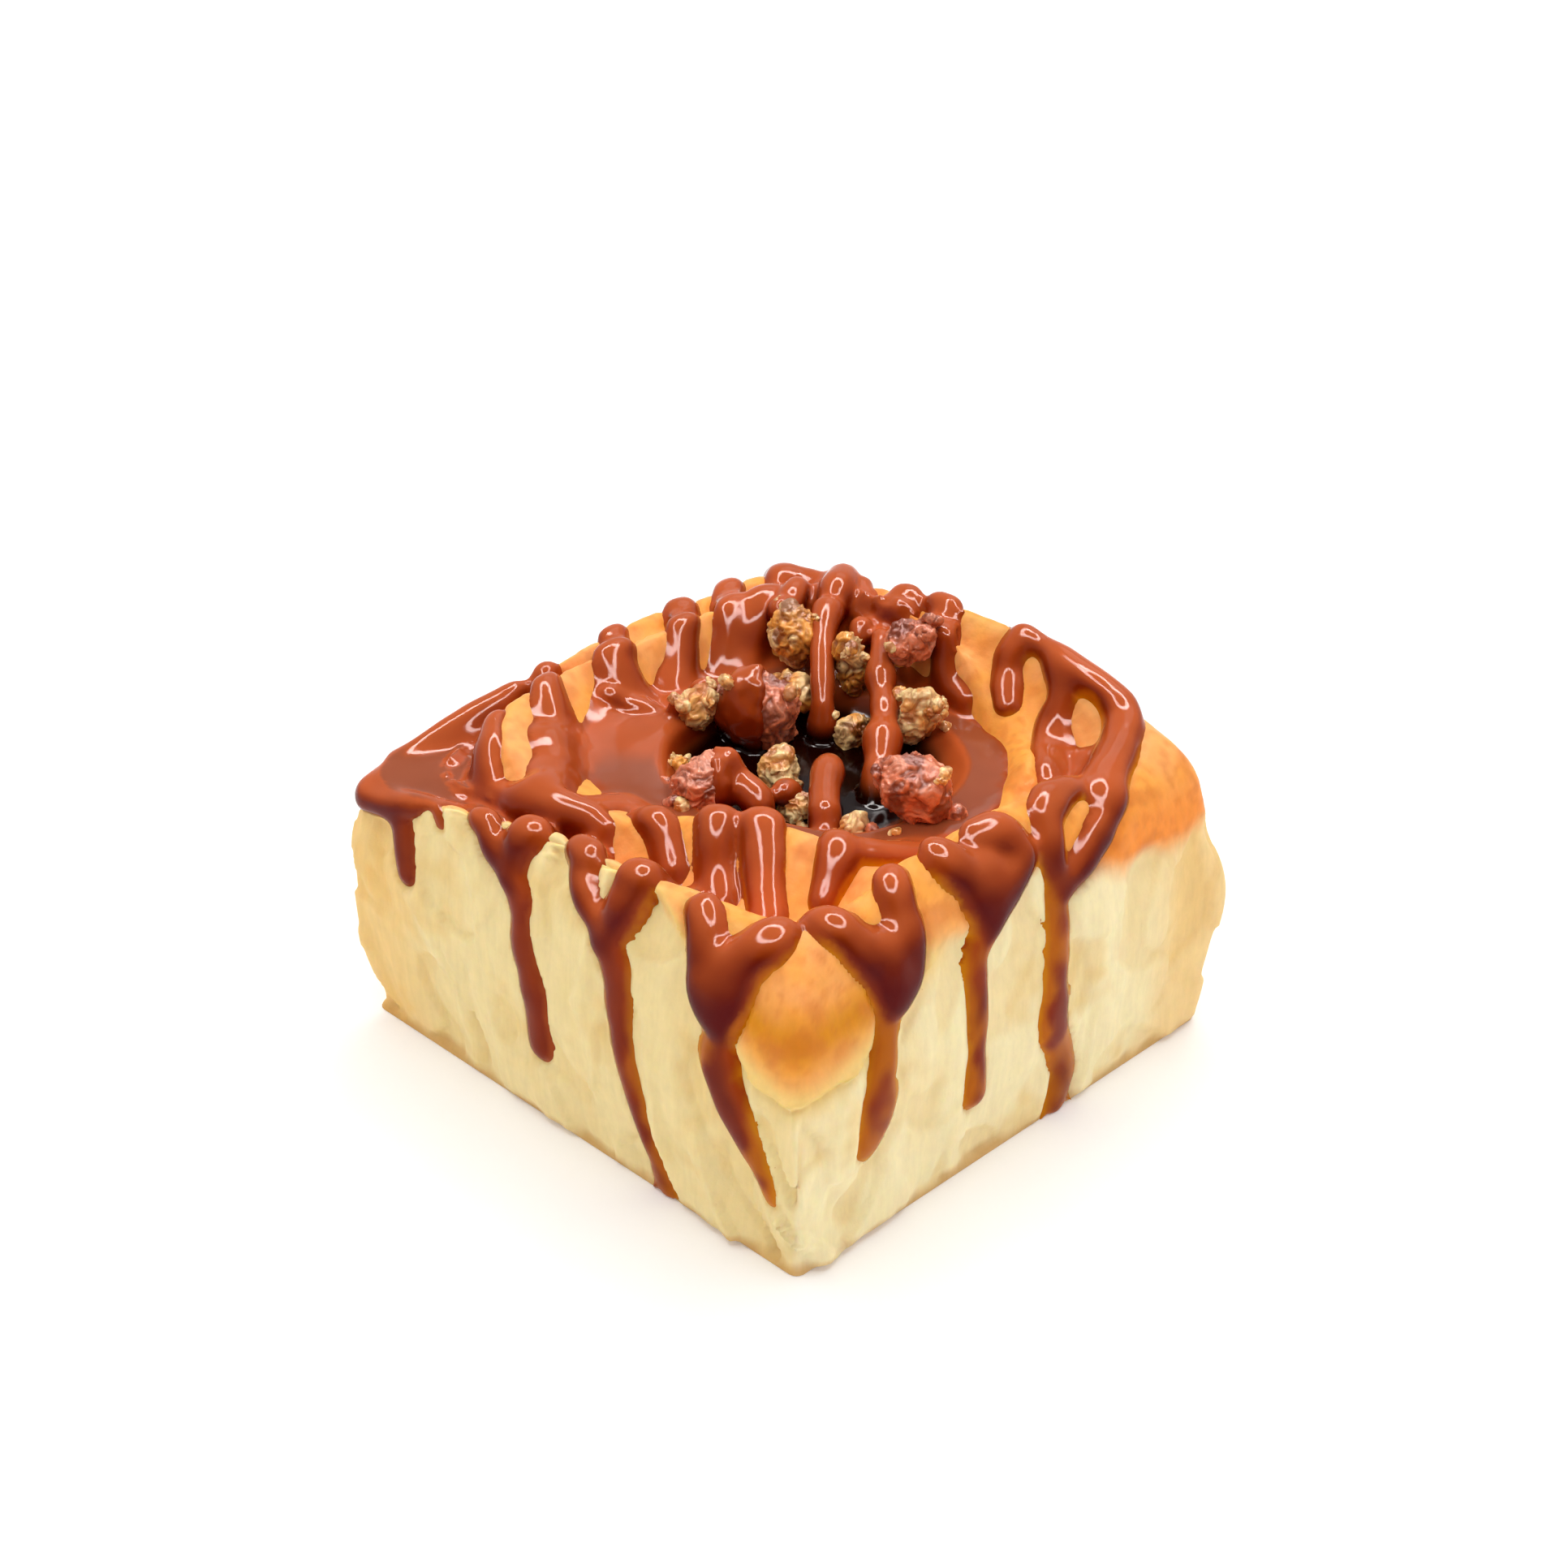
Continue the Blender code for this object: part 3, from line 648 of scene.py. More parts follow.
@dataclass
class Dough:
    """The roll itself: torn sides, the crust over its top, and their colours."""

    net: DoughNet
    crumb: str = "#F1DBA0"
    # Painted light: the crumb's colour for the face towards +X, painted lighter as if more lit.
    crumb_lit_side: str = "#FBE9B8"
    # The crumb's deeper tone for random lumps, also used as painted shade in the relief's hollows.
    crumb_deep_and_hollow_shade: str = "#EAC882"
    crumb_ends: str = "#EFBB66"
    lip: str = "#F4CF80"
    rim_cream: str = "#FEDD86"
    golden: str = "#FBA84A"
    peach: str = "#FBAC62"
    orange: str = "#FA9236"
    ochre: str = "#DC8C00"
    burnt: str = "#D0702A"
    soaked: str = "#D29A3C"
    base_brown: str = "#C8934C"
    lean: float = 0.22
    fibre_depth: float = 0.14
    strand_depth: float = 0.55
    ledge_depth: float = 0.4
    torn_depth: float = 0.7
    sheet_depth: float = 0.6
    flap_depth: float = 0.5

    def crust_share(self) -> Array:
        """How far each point of the net is browned crust, from 0 to 1."""
        edge = around(CRUST_EDGE, self.net.turns)
        wander = 0.34 * noise_at(self.net.points, 9.0, 2.0)
        wander += 0.05 * noise_at(self.net.points, 2.2, 3.0)
        past = self.net.stations[:, None] - edge[None, :, 0] + wander
        return step(-1.0, 1.0, past / edge[None, :, 1])

    def relief(self, crust: Array) -> Array:
        """How far the surface stands out of the smooth form, in mm.

        Args:
            crust: The share of crust at each point of the net.

        Returns:
            A height in mm for each point.
        """
        points, normals = self.net.points, self.net.normals
        leant = points.copy()
        to_front = step(0.3, 0.8, -normals[..., 1])
        leant[..., 0] += self.lean * points[..., 2] * to_front
        warp = noise_at(points, 9.0, 5.0)
        leant[..., :2] += 2.2 * warp[..., None]
        pulled = leant * np.array([1.0, 1.0, 0.22])
        fibre = noise_at(pulled, 1.5, 7.0)
        strand = noise_at(pulled, 3.6, 8.0)
        torn = noise_at(leant * np.array([1.0, 1.0, 0.45]), 7.0, 9.0)
        ledge = step(-0.04, 0.04, torn) - 0.5
        corner = np.exp(-((np.abs(points[..., 0] - 45) + np.abs(points[..., 1] + 42)) / 11) ** 2)
        low = step(26.0, 12.0, points[..., 2])
        rough = 1.0 + 1.6 * corner * low
        other = noise_at(leant * np.array([1.0, 1.0, 0.7]), 11.0, 10.0)
        sheet = step(-0.03, 0.03, other) - 0.5
        crumb = self.fibre_depth * fibre + self.strand_depth * strand
        crumb = crumb + self.ledge_depth * ledge + self.torn_depth * torn
        crumb = (crumb + self.sheet_depth * (sheet + other)) * rough
        inner = step(8.3, 8.9, self.net.stations)[:, None]
        skin = 0.30 * noise_at(points, 6.0, 12.0)
        skin = skin + (0.1 + 0.3 * inner) * noise_at(points, 1.4, 13.0)
        edge = around(CRUST_EDGE, self.net.turns)
        past = self.net.stations[:, None] - edge[None, :, 0]
        corner_flap = step(0.9, 0.97, np.cos(np.radians(self.net.turns[None, :] + 44)))
        wavy = past + 0.10 * noise_at(points, 5.0, 2.0) + 0.04 * noise_at(points, 1.8, 3.0)
        lifted = step(-0.035, 0.035, wavy) * np.exp(-np.maximum(wavy, 0.0) / 0.8)
        flap = crust * np.exp(-np.maximum(past, 0.0) / 0.7)
        flap = flap + corner_flap * (3.0 * lifted - flap)
        grounded = step(0.0, 1.5, points[..., 2])
        inside = step(9.2, 8.6, self.net.stations)[:, None]
        return ((1 - crust) * crumb + crust * skin + self.flap_depth * flap) * grounded * inside

    def tints(self, crust: Array, soak: Array, height: Array) -> Array:
        """The dough's colours.

        Args:
            crust: The share of crust at each point of the net.
            soak: The share of sauce soaked in at each point.
            height: The relief in mm at each point.

        Returns:
            A linear colour for each point.
        """
        net = self.net
        points, station = net.points, net.stations[:, None]
        broad, fine = noise_at(points, 14.0, 21.0), noise_at(points, 3.0, 22.0)
        # Painted light: faces towards +X get the lighter crumb colour.
        crumb = blend(step(0.2, 0.8, net.normals[..., 0]), linear(self.crumb), linear(self.crumb_lit_side))
        crumb = blend(0.7 * step(0.0, 0.7, broad + 0.4 * fine), crumb, linear(self.crumb_deep_and_hollow_shade))
        # Painted shade: low places of the relief are darkened towards the deeper crumb colour.
        crumb = blend(0.35 * step(0.1, -0.8, height), crumb, linear(self.crumb_deep_and_hollow_shade))
        ends = np.cos(np.radians(2 * net.turns[None, :] - 90))
        crumb = blend(0.55 * step(0.88, 1.0, ends), crumb, linear(self.crumb_ends))
        near = np.cos(np.radians(net.turns[None, :] - 45))
        top = blend(step(-0.4, 0.4, broad + 0.4 * fine), linear(self.golden), linear(self.peach))
        right = step(0.75, 0.98, near) * step(6.5, 5.5, station)
        top = blend(0.9 * right, top, linear(self.orange))
        front = np.cos(np.radians(net.turns[None, :] + 45))
        spot = step(0.93, 0.99, front) * np.exp(-(((station - 5.42) / 0.3) ** 2))
        top = blend(0.95 * spot, top, linear(self.ochre))
        dark = step(0.1, 0.5, noise_at(points, 4.5, 23.0) + 0.3 * fine)
        top = blend(0.45 * dark, top, linear(self.burnt))
        freckle = step(0.05, 0.4, noise_at(points, 1.5, 24.0))
        top = blend(0.3 * freckle, top, linear(self.burnt))
        brown = np.exp(-((crust - 0.55) / 0.25) ** 2) * step(0.1, 0.4, fine)
        top = blend(0.7 * brown, top, linear(self.burnt))
        groove = np.exp(-(((station - 8.1) / 0.5) ** 2))
        top = blend(0.25 * groove, top, linear(self.orange))
        rim = np.exp(-(((station - 6.9) / 0.35) ** 2)) * step(0.35, 0.75, -net.normals[..., 1])
        colours = blend(crust, crumb, top)
        edge = around(CRUST_EDGE, net.turns)[None, :, 0]
        pale = np.exp(-(((station - edge - 0.05) / 0.24) ** 2)) * step(0.86, 0.95, front)
        colours = blend(pale, colours, linear(self.lip))
        colours = blend(0.9 * rim, colours, linear(self.rim_cream))
        ground = step(2.4, 0.2, points[..., 2] + 1.2 * fine)
        colours = blend(0.75 * ground, colours, linear(self.base_brown))
        return blend(0.85 * soak, colours, linear(self.soaked))

    def build(self, sauce_depth: Array, finish: bpy.types.Material) -> bpy.types.Object:
        """Makes the dough's piece.

        Args:
            sauce_depth: How deep the sauce lies over each point, negative beside it.
            finish: The dough's material.

        Returns:
            The piece.
        """
        crust = self.crust_share()
        height = self.relief(crust)
        wet = step(-1.4, -0.1, sauce_depth)
        height = height * (1 - wet) - 0.15 * wet
        points = self.net.points + self.net.normals * height[..., None]
        points[..., 2] = np.maximum(points[..., 2], 0.0)
        soak = 0.6 * step(-0.7, 0.1, sauce_depth) * (1 - 0.85 * crust)
        colours = self.tints(crust, soak, height)
        piece = self.net.cast("dough", points, {"tint": colours, "crust": crust})
        piece.data.materials.append(finish)
        return piece


@dataclass(frozen=True)
class Strand:
    """One run of sauce over the dough.

    A flatness under 1 makes a thin run with the same width. Knots are (radius, turn, station).
    """

    flat: float
    knots: tuple[tuple[float, float, float], ...]


STRANDS: dict[str, Strand] = {
    "loop_1_left": Strand(
        1.0, ((1.9, -127, 8.2), (2.1, -113.3, 7), (2.1, -110, 5.5), (2.1, -104, 4.85)),
    ),
    "loop_1_right": Strand(
        1.0, ((2.6, -111.8, 8.5), (3.1, -103.8, 6.9), (2.6, -103.8, 5.7), (2.1, -103.8, 4.9)),
    ),
    "drip_1": Strand(
        0.62,
        (
            (1.9, -103.8, 4.92), (2.3, -101.3, 4.73), (1.7, -100.5, 4.54), (2.0, -99.6, 4.31),
            (2.3, -97, 4.08), (2.1, -96.1, 3.83), (2.5, -96.1, 3.61),
        ),
    ),
    "loop_2_left": Strand(
        1.0,
        ((2.4, -98.7, 8.3), (2.7, -88.2, 6.7), (2.5, -87, 5.8), (2.3, -83.9, 5.2), (2.1, -79, 4.9)),
    ),
    "loop_2_right": Strand(
        1.0, ((2.4, -70.5, 7.9), (3.0, -74.5, 7), (2.8, -75.3, 6.1), (2.5, -77, 5.2), (2.5, -79, 4.8)),
    ),
    "drip_2": Strand(
        0.58,
        (
            (2.2, -77.8, 4.8), (2.6, -76.2, 4.62), (2.4, -75.3, 4.42), (2.0, -74.5, 4.15),
            (2.0, -73.7, 3.94), (2.0, -72.1, 3.72), (1.7, -70.5, 3.5), (1.9, -68.2, 3.28),
            (1.8, -66.2, 2.7),
        ),
    ),
    "loop_3_left": Strand(1.0, ((2.4, -60.4, 6.6), (3, -59, 6.1), (3, -58.4, 5.5), (2.9, -57, 5.1))),
    "loop_3_right": Strand(
        1.0, ((2.6, -47.8, 6.8), (3.2, -49.8, 6.5), (3.2, -52.4, 6.1), (3.1, -54, 5.5), (2.6, -55, 5)),
    ),
    "loop_3_fill": Strand(1.15, ((2.4, -55.3, 5.93), (3.1, -55.9, 5.53), (2.8, -55.6, 5.1))),
    "drip_3": Strand(
        0.6,
        (
            (2.6, -55.3, 5.07), (2.4, -55.9, 4.73), (3, -55.3, 4.42), (2.9, -53.6, 4.12),
            (2.3, -51.3, 3.81), (1.5, -49.3, 3.64), (1.2, -48.3, 3.5),
        ),
    ),
    "loop_4_left": Strand(
        1.0, ((2, -44.1, 7.6), (2.6, -40.2, 6.9), (3, -37.6, 6.5), (3.1, -34, 5.9), (2.6, -31, 5.3)),
    ),
    "loop_4_right": Strand(
        1.0,
        ((2.4, -27.6, 6.9), (2.7, -27.6, 6.5), (2.9, -26.9, 5.9), (3.1, -27, 5.5), (2.6, -30, 5.2)),
    ),
    "loop_4_fill": Strand(1.15, ((2.1, -31.6, 6), (3.3, -31, 5.6), (2.6, -30.3, 5.2))),
    "drip_4": Strand(
        0.3,
        (
            (1.9, -31, 5.1), (1.8, -31.6, 4.9), (2.1, -32.2, 4.6), (2.7, -33, 4.2), (2.9, -33.5, 3.86),
            (2.3, -34.7, 3.69),
        ),
    ),
    "loop_5_left": Strand(1.0, ((2.7, -15.5, 6.7), (3.1, -13, 6.3), (3.1, -9.6, 5.7), (2.4, -7.9, 5.2))),
    "loop_5_right": Strand(
        1.0, ((2.4, -4.4, 6.6), (3, 1.8, 6.3), (3.1, 3.5, 5.8), (3, -1.8, 5.5), (2.3, -7, 5.2)),
    ),
    "loop_5_fill": Strand(1.05, ((2.4, -8.7, 6.1), (3.3, -5.3, 5.7), (2.7, -6.1, 5.3))),
    "drip_5": Strand(
        0.74,
        (
            (1.7, -7.9, 5.07), (2, -11.3, 4.92), (1.9, -12.2, 4.58), (2.1, -12.2, 4.27),
            (1.7, -12.2, 3.89), (2.3, -12.2, 3.62),
        ),
    ),
    "loop_6_left": Strand(1.0, ((2.3, 13.8, 6.4), (2.5, 12.2, 5.9), (2.3, 11.3, 5.5), (1.9, 12.2, 5.2))),
    "loop_6_right": Strand(
        1.0, ((2.1, 29, 6.4), (2.4, 25.5, 5.9), (2.7, 21.8, 5.6), (2.6, 17.1, 5.3), (2, 12.2, 5.1)),
    ),
    "drip_6": Strand(
        0.5,
        (
            (1.9, 10.5, 5.1), (2.1, 10.5, 4.8), (2.1, 9.6, 4.4), (2.2, 8.7, 4.1), (2.8, 8.7, 3.8),
            (2.5, 11.3, 3.56), (2.5, 13.8, 3.3), (2.1, 13, 2.8),
        ),
    ),
    "corner_pool_front": Strand(
        0.9, ((2.2, -135.6, 5.7), (2.5, -137, 6.8), (2.6, -137.8, 7.5), (2.3, -137.3, 7.9)),
    ),
    "corner_rim": Strand(
        0.9, ((2.3, -135, 5.8), (2.3, -131.5, 6.3), (2.2, -128, 7.0), (1.6, -123.5, 7.5)),
    ),
    "corner_drip": Strand(
        0.75, ((2.1, -132, 6.8), (2.4, -128.7, 5.5), (2.3, -127, 4.8), (1.9, -125.6, 4.4)),
    ),
    "small_drip": Strand(0.6, ((0.9, -124.5, 7.4), (0.9, -122.4, 6.6), (0.9, -120.8, 5.4))),
    "corner_pool_side": Strand(
        0.85,
        ((2.8, -136.5, 6.5), (2.9, -141, 6.9), (2.7, -147, 6.8), (2.2, -154, 6.6), (1.4, -160, 6.6)),
    ),
    "corner_pool_middle": Strand(
        0.8, ((2.5, -135.5, 7.1), (3.2, -141.5, 7.5), (3.1, -146.5, 7.6), (2.4, -150.4, 7.4)),
    ),
    "coil_end": Strand(
        0.85,
        (
            (1.2, -161, 6.4), (1.6, -159, 7.0), (1.9, -149, 8.0), (2.1, -141, 8.75),
            (2.4, -135.8, 8.72), (2.8, -131.5, 8.58), (3.0, -127.5, 8.42), (2.4, -124.5, 8.2),
        ),
    ),
    "left_1": Strand(
        0.95,
        (
            (1.8, -168, 5.7), (2.0, -166, 6.8), (2.3, -158, 8.7), (2.6, -150.5, 9.25),
            (2.8, -142, 9.42), (3.0, -131, 9.42), (3.0, -119, 9.2), (2.6, -112, 8.9),
        ),
    ),
    "left_2": Strand(
        0.95,
        (
            (2.1, 171.5, 5.2), (2.4, 175.0, 6.6), (2.7, 182.5, 8.8), (3.1, 187.0, 9.35),
            (3.5, 188.7, 9.6), (3.4, 190.5, 9.95),
        ),
    ),
    "left_2_web": Strand(0.7, ((2.6, 190.0, 9.45), (2.2, 199.0, 9.6), (1.8, 211.0, 9.75))),
    "left_3": Strand(
        0.95,
        (
            (2.0, 155, 5.3), (2.3, 157.0, 6.8), (2.5, 161.5, 8.9), (2.5, 164.5, 9.35),
            (2.8, 168.7, 9.6), (3.1, 174.7, 9.85),
        ),
    ),
    "left_4": Strand(
        0.95,
        (
            (2.1, 144.5, 5.0), (2.5, 145.5, 6.9), (2.7, 148, 9.0), (2.7, 149.5, 9.4),
            (2.8, 152.4, 9.67), (2.7, 156.7, 9.95),
        ),
    ),
    "left_5": Strand(
        0.95,
        (
            (2.2, 136, 5.3), (2.7, 134.6, 7.0), (3, 138, 8.7), (3, 142, 9.3), (3.0, 145.3, 9.5),
            (3.0, 148.4, 9.75), (2.6, 153.1, 10.0),
        ),
    ),
    "back_0": Strand(0.9, ((2.1, 131, 6.8), (2.1, 129.2, 7.6), (2.0, 127, 8.9))),
    "back_1": Strand(
        0.95,
        ((2.2, 127, 5.0), (2.6, 124, 6.7), (3.0, 124.3, 7.6), (2.9, 124.7, 9.2), (2.6, 125.5, 9.6)),
    ),
    "back_1_web": Strand(
        0.85, ((2.2, 119.5, 7.0), (2.5, 118.3, 9.1), (2.5, 114.8, 9.45), (1.8, 111.8, 9.5)),
    ),
    "back_2": Strand(
        0.95,
        ((2.1, 116.5, 5.3), (2.4, 108.5, 6.6), (2.8, 107.9, 7.6), (2.8, 110, 9.2), (2.4, 112.6, 9.5)),
    ),
    "back_3": Strand(
        0.95,
        (
            (2.2, 102, 4.9), (2.6, 98.7, 6.8), (2.8, 96.1, 7.5), (2.4, 92.6, 8.5), (1.9, 90, 9.4),
            (1.9, 85.6, 9.65), (1.8, 79.5, 9.6),
        ),
    ),
    "turn_left": Strand(
        0.95, ((1.8, 80, 5.9), (2.0, 77.5, 7.1), (2.1, 76.5, 7.6), (2.1, 73, 8.1), (2.1, 67.5, 8.6)),
    ),
    "turn_right": Strand(
        0.95, ((2.0, 77.5, 6.9), (2.1, 71.3, 7.0), (2.4, 66, 7.25), (2.4, 61, 7.5), (2.0, 58.4, 7.7)),
    ),
    "right_top": Strand(0.85, ((2.3, 69, 6.9), (2.8, 61.7, 6.9), (2.8, 57.8, 6.8), (2.4, 53.6, 7.0))),
    "right_1": Strand(
        0.9,
        ((2.6, 57.5, 6.5), (2.9, 51.3, 7.1), (3.1, 44.6, 7.2), (3.3, 36.4, 7.05), (2.8, 28.3, 6.3)),
    ),
    "right_2": Strand(
        0.9, ((2.4, 58.4, 7.8), (2.7, 53, 8.06), (2.9, 41.2, 8.3), (3.0, 26.0, 7.4), (2.9, 14.5, 6.5)),
    ),
    "right_pool": Strand(0.35, ((2.4, 44, 7.7), (3.4, 37, 7.65), (3.4, 31, 7.4), (2.4, 27, 7.1))),
    "lip_1": Strand(1.0, ((2.3, -95, 9.5), (2.5, -88.5, 9.0), (2.5, -82.1, 8.56), (2.2, -77.8, 8.3))),
    "lip_2": Strand(1.0, ((2.6, -73.5, 9.5), (2.8, -70.2, 8.8), (2.7, -67.4, 8.44), (2.5, -63.8, 8.1))),
    "lip_3": Strand(1.0, ((2.7, -59.5, 9.5), (2.9, -56.2, 8.8), (2.8, -54.3, 8.5), (2.6, -51.5, 8.1))),
    "lip_4": Strand(1.0, ((2.2, -34, 9.3), (2.7, -34.7, 8.8), (2.6, -37, 8.56), (1.9, -40.2, 8.3))),
    "front_groove": Strand(
        0.8,
        ((2.6, -125.3, 8.3), (3.2, -118, 8.5), (3.2, -111, 8.65), (2.6, -104.7, 8.75), (1.9, -99, 8.6)),
    ),
    "front_web": Strand(0.6, ((2.2, -104, 8.9), (2.5, -110, 9.6), (2.2, -101, 9.7), (2.0, -95, 9.3))),
    "lip_sheet": Strand(0.5, ((2.2, -31, 8.9), (2.9, -21, 9.0), (2.8, -8.7, 9.4), (2.6, 5, 10.1))),
}


@dataclass(frozen=True)
class Pool:
    """Sauce that stands level in a low place: where it is, and how high it stands."""

    direction: float
    spread: float
    first: float
    last: float
    level: float


POOLS: dict[str, Pool] = {
    "pit": Pool(0, 200, 11.0, 15.0, 37.4),
    "corner_shelf": Pool(229, 17, 6.6, 9.0, 41.0),
    "front_groove": Pool(251, 13, 7.6, 8.8, 41.2),
}
# The sauce in the basin. Seen from its centre: direction -> (level, station of its shore).
BASIN_POOL: Stations = {
    20: (41.8, 9.3), 100: (41.6, 9.6), 165: (42.2, 9.2), 192: (43.0, 9.1), 215: (43.4, 9.1),
    240: (42.2, 9.3), 275: (41.3, 9.5),
}

# Sauce hanging over the walnuts: points with a radius each, in the row's frame.
RUNS_OVER_WALNUTS: dict[str, tuple[tuple[float, float, float, float], ...]] = {
    "over_back": (
        (-27.5, 41.5, 49.5, 2.2), (-24.0, 36.5, 50.8, 2.5), (-20.0, 29.5, 50.0, 2.3),
        (-15.5, 24.0, 47.8, 1.8), (-12.0, 20.5, 45.0, 1.9), (-9.5, 18.0, 42.0, 1.8),
        (-9.0, 17.5, 38.5, 2.4),
    ),
    "over_round": (
        (-13.0, 35.0, 49.3, 2.0), (-9.0, 30.0, 47.8, 1.5), (-4.0, 25.0, 45.5, 2.1),
        (0.0, 21.5, 43.8, 1.9), (3.0, 18.0, 42.2, 2.7), (5.5, 15.0, 40.8, 2.5), (9.0, 10.0, 38.5, 2.3),
        (9.5, 9.0, 36.0, 2.6),
    ),
    "hanging": (
        (0.0, 9.5, 40.2, 1.5), (2.5, 7.0, 41.4, 2.0), (5.0, 4.0, 42.0, 2.2), (7.5, 1.0, 41.6, 2.3),
        (10.5, -2.0, 41.0, 2.2), (13.5, -4.5, 41.6, 1.8),
    ),
    "coated_edge": (
        (-6.0, -7.5, 43.4, 1.8), (-2.5, -6.5, 42.6, 2.2), (1.0, -6.5, 41.2, 2.2),
        (3.5, -8.0, 39.6, 1.8),
    ),
    "middle_pool": ((2.5, -3.5, 39.6, 1.8), (0.5, 3.0, 38.6, 1.8), (3.0, 4.0, 37.0, 1.6)),
    "back_spot": ((-15.5, 35.5, 50.2, 1.8), (-15.0, 32.0, 48.5, 1.8), (-13.5, 29.5, 46.5, 1.3)),
    "left_web": (
        (-33.0, -6.5, 43.0, 2.4), (-28.5, -2.5, 42.4, 2.2), (-25.0, -1.0, 41.8, 1.7),
        (-22.0, 0.5, 41.0, 1.3),
    ),
    "left_bead": ((-27.5, 2.0, 41.8, 2.0), (-24.5, 4.5, 42.6, 1.8), (-22.0, 6.5, 42.0, 1.4)),
    "back_top": ((-29.5, 33.5, 50.6, 2.2), (-27.0, 28.5, 50.4, 2.0), (-25.5, 23.5, 49.5, 1.8)),
}


class Ground:
    """Pieces that sauce and crumbs lie on, read from above."""

    sky_mm: float = 80.0

    def __init__(self, *pieces: bpy.types.Object) -> None:
        """Starts with these pieces."""
        graph = bpy.context.evaluated_depsgraph_get()
        self.trees = [BVHTree.FromObject(piece, graph) for piece in pieces]

    def top(self, x: float, y: float) -> float:
        """The height of the highest piece at a place, in mm."""
        start = Vector((x, y, self.sky_mm)) * MM
        hits = [tree.ray_cast(start, Vector((0.0, 0.0, -1.0)))[0] for tree in self.trees]
        return max((hit.z / MM for hit in hits if hit), default=0.0)


@dataclass
class SauceField:
    """How deep the sauce lies over each point of the dough's net, negative beside it."""

    net: DoughNet
    knit: float = 0.32
    sunk: float = 0.28
    fall: float = 0.9
    sample_mm: float = 0.45
    film_mm: float = 0.35
    spread: float = 1.16
    squash: float = 0.84
    width_wander: float = 0.18
    depth_wander: float = 0.25
    reach_mm: float = 3.0
    empty: float = -6.0
    depth: Array = field(init=False)

    def __post_init__(self) -> None:
        """Starts with no sauce on the net."""
        self.depth = np.full(self.net.points.shape[:2], self.empty)

    def pour(self, depth: Array, where: Any = slice(None)) -> None:
        """Adds sauce, so that what meets what is there runs together in a fillet."""
        both = np.logaddexp(self.depth[where] / self.knit, depth / self.knit)
        self.depth[where] = self.knit * both

    def run(self, strand: Strand, seed: float) -> None:
        """Lays one strand.

        Args:
            strand: Its route and its widths.
            seed: Moves the pattern of its uneven width.
        """
        form = self.net.form
        ends = np.linspace(0.0, 1.0, len(strand.knots))
        rough = cubic(ends, strand.knots, np.linspace(0.0, 1.0, 12))
        length = np.linalg.norm(np.diff(form.on_dough(*rough.T[1:]), axis=0), axis=1).sum()
        count = max(6, round(length / self.sample_mm))
        rows = cubic(ends, strand.knots, np.linspace(0.0, 1.0, count + 1))
        path = form.on_dough(*rows.T[1:])
        radii = self.spread * rows[:, 0] * (1 + self.width_wander * noise_at(path, 3.6, seed))
        uneven = 1 + self.depth_wander * noise_at(path, 5.0, seed + 0.5)
        flat = self.squash * strand.flat * uneven
        margin = radii.max() + self.reach_mm
        low, high = path.min(axis=0) - margin, path.max(axis=0) + margin
        points = self.net.points
        inside = ((points > low) & (points < high)).all(axis=2)
        near = points[inside]
        best = np.full(len(near), self.empty)
        for spot, radius, thin in zip(path, radii, flat):
            away = np.linalg.norm(near - spot, axis=1)
            share = np.clip(away / radius, 0.0, 1.0) ** (2 + 3 * max(1 - thin, 0.0))
            dome = radius * (np.sqrt(1 - share) - self.sunk)
            past = -thin * self.sunk * radius - self.fall * (away - radius)
            best = np.maximum(best, np.where(away < radius, thin * dome, past))
        self.pour(best, inside)

    def stand(self, mask: Array, level: Any) -> None:
        """Fills the masked part of the net up to a level."""
        net = self.net
        upright = np.maximum(net.normals[..., 2], 0.35)
        depth = (level - net.points[..., 2]) / upright
        self.pour(np.where(mask > 0, depth * mask - 2.0 * (1 - mask), self.empty))

    def fill_pool(self, pool: Pool) -> None:
        """Fills one pool."""
        net = self.net
        off = np.abs((net.inward[None, :] - pool.direction + 180) % 360 - 180)
        station = net.stations[:, None]
        mask = step(0.0, 9.0, pool.spread - off)
        mask = mask * step(-0.15, 0.15, station - pool.first)
        self.stand(mask * step(-0.25, 0.25, pool.last - station), pool.level)

    def fill_basin(self) -> None:
        """Fills the ring round the pit, where the sauce stands highest at the left and right."""
        level, shore = around(BASIN_POOL, self.net.inward).T
        station = self.net.stations[:, None]
        mask = step(-0.15, 0.15, station - shore) * step(-0.25, 0.25, 11.2 - station)
        self.stand(mask, level)

    def coat_basin(self) -> None:
        """Wets the whole basin with a film of sauce."""
        uneven = noise_at(self.net.points, 4.0, 31.0)
        station = self.net.stations[:, None]
        inside = step(9.35, 9.9, station + 0.4 * uneven)
        film = self.film_mm + 0.4 * uneven + 0.8 * step(10.3, 11.3, station)
        self.pour(film * inside - 1.5 * (1 - inside))


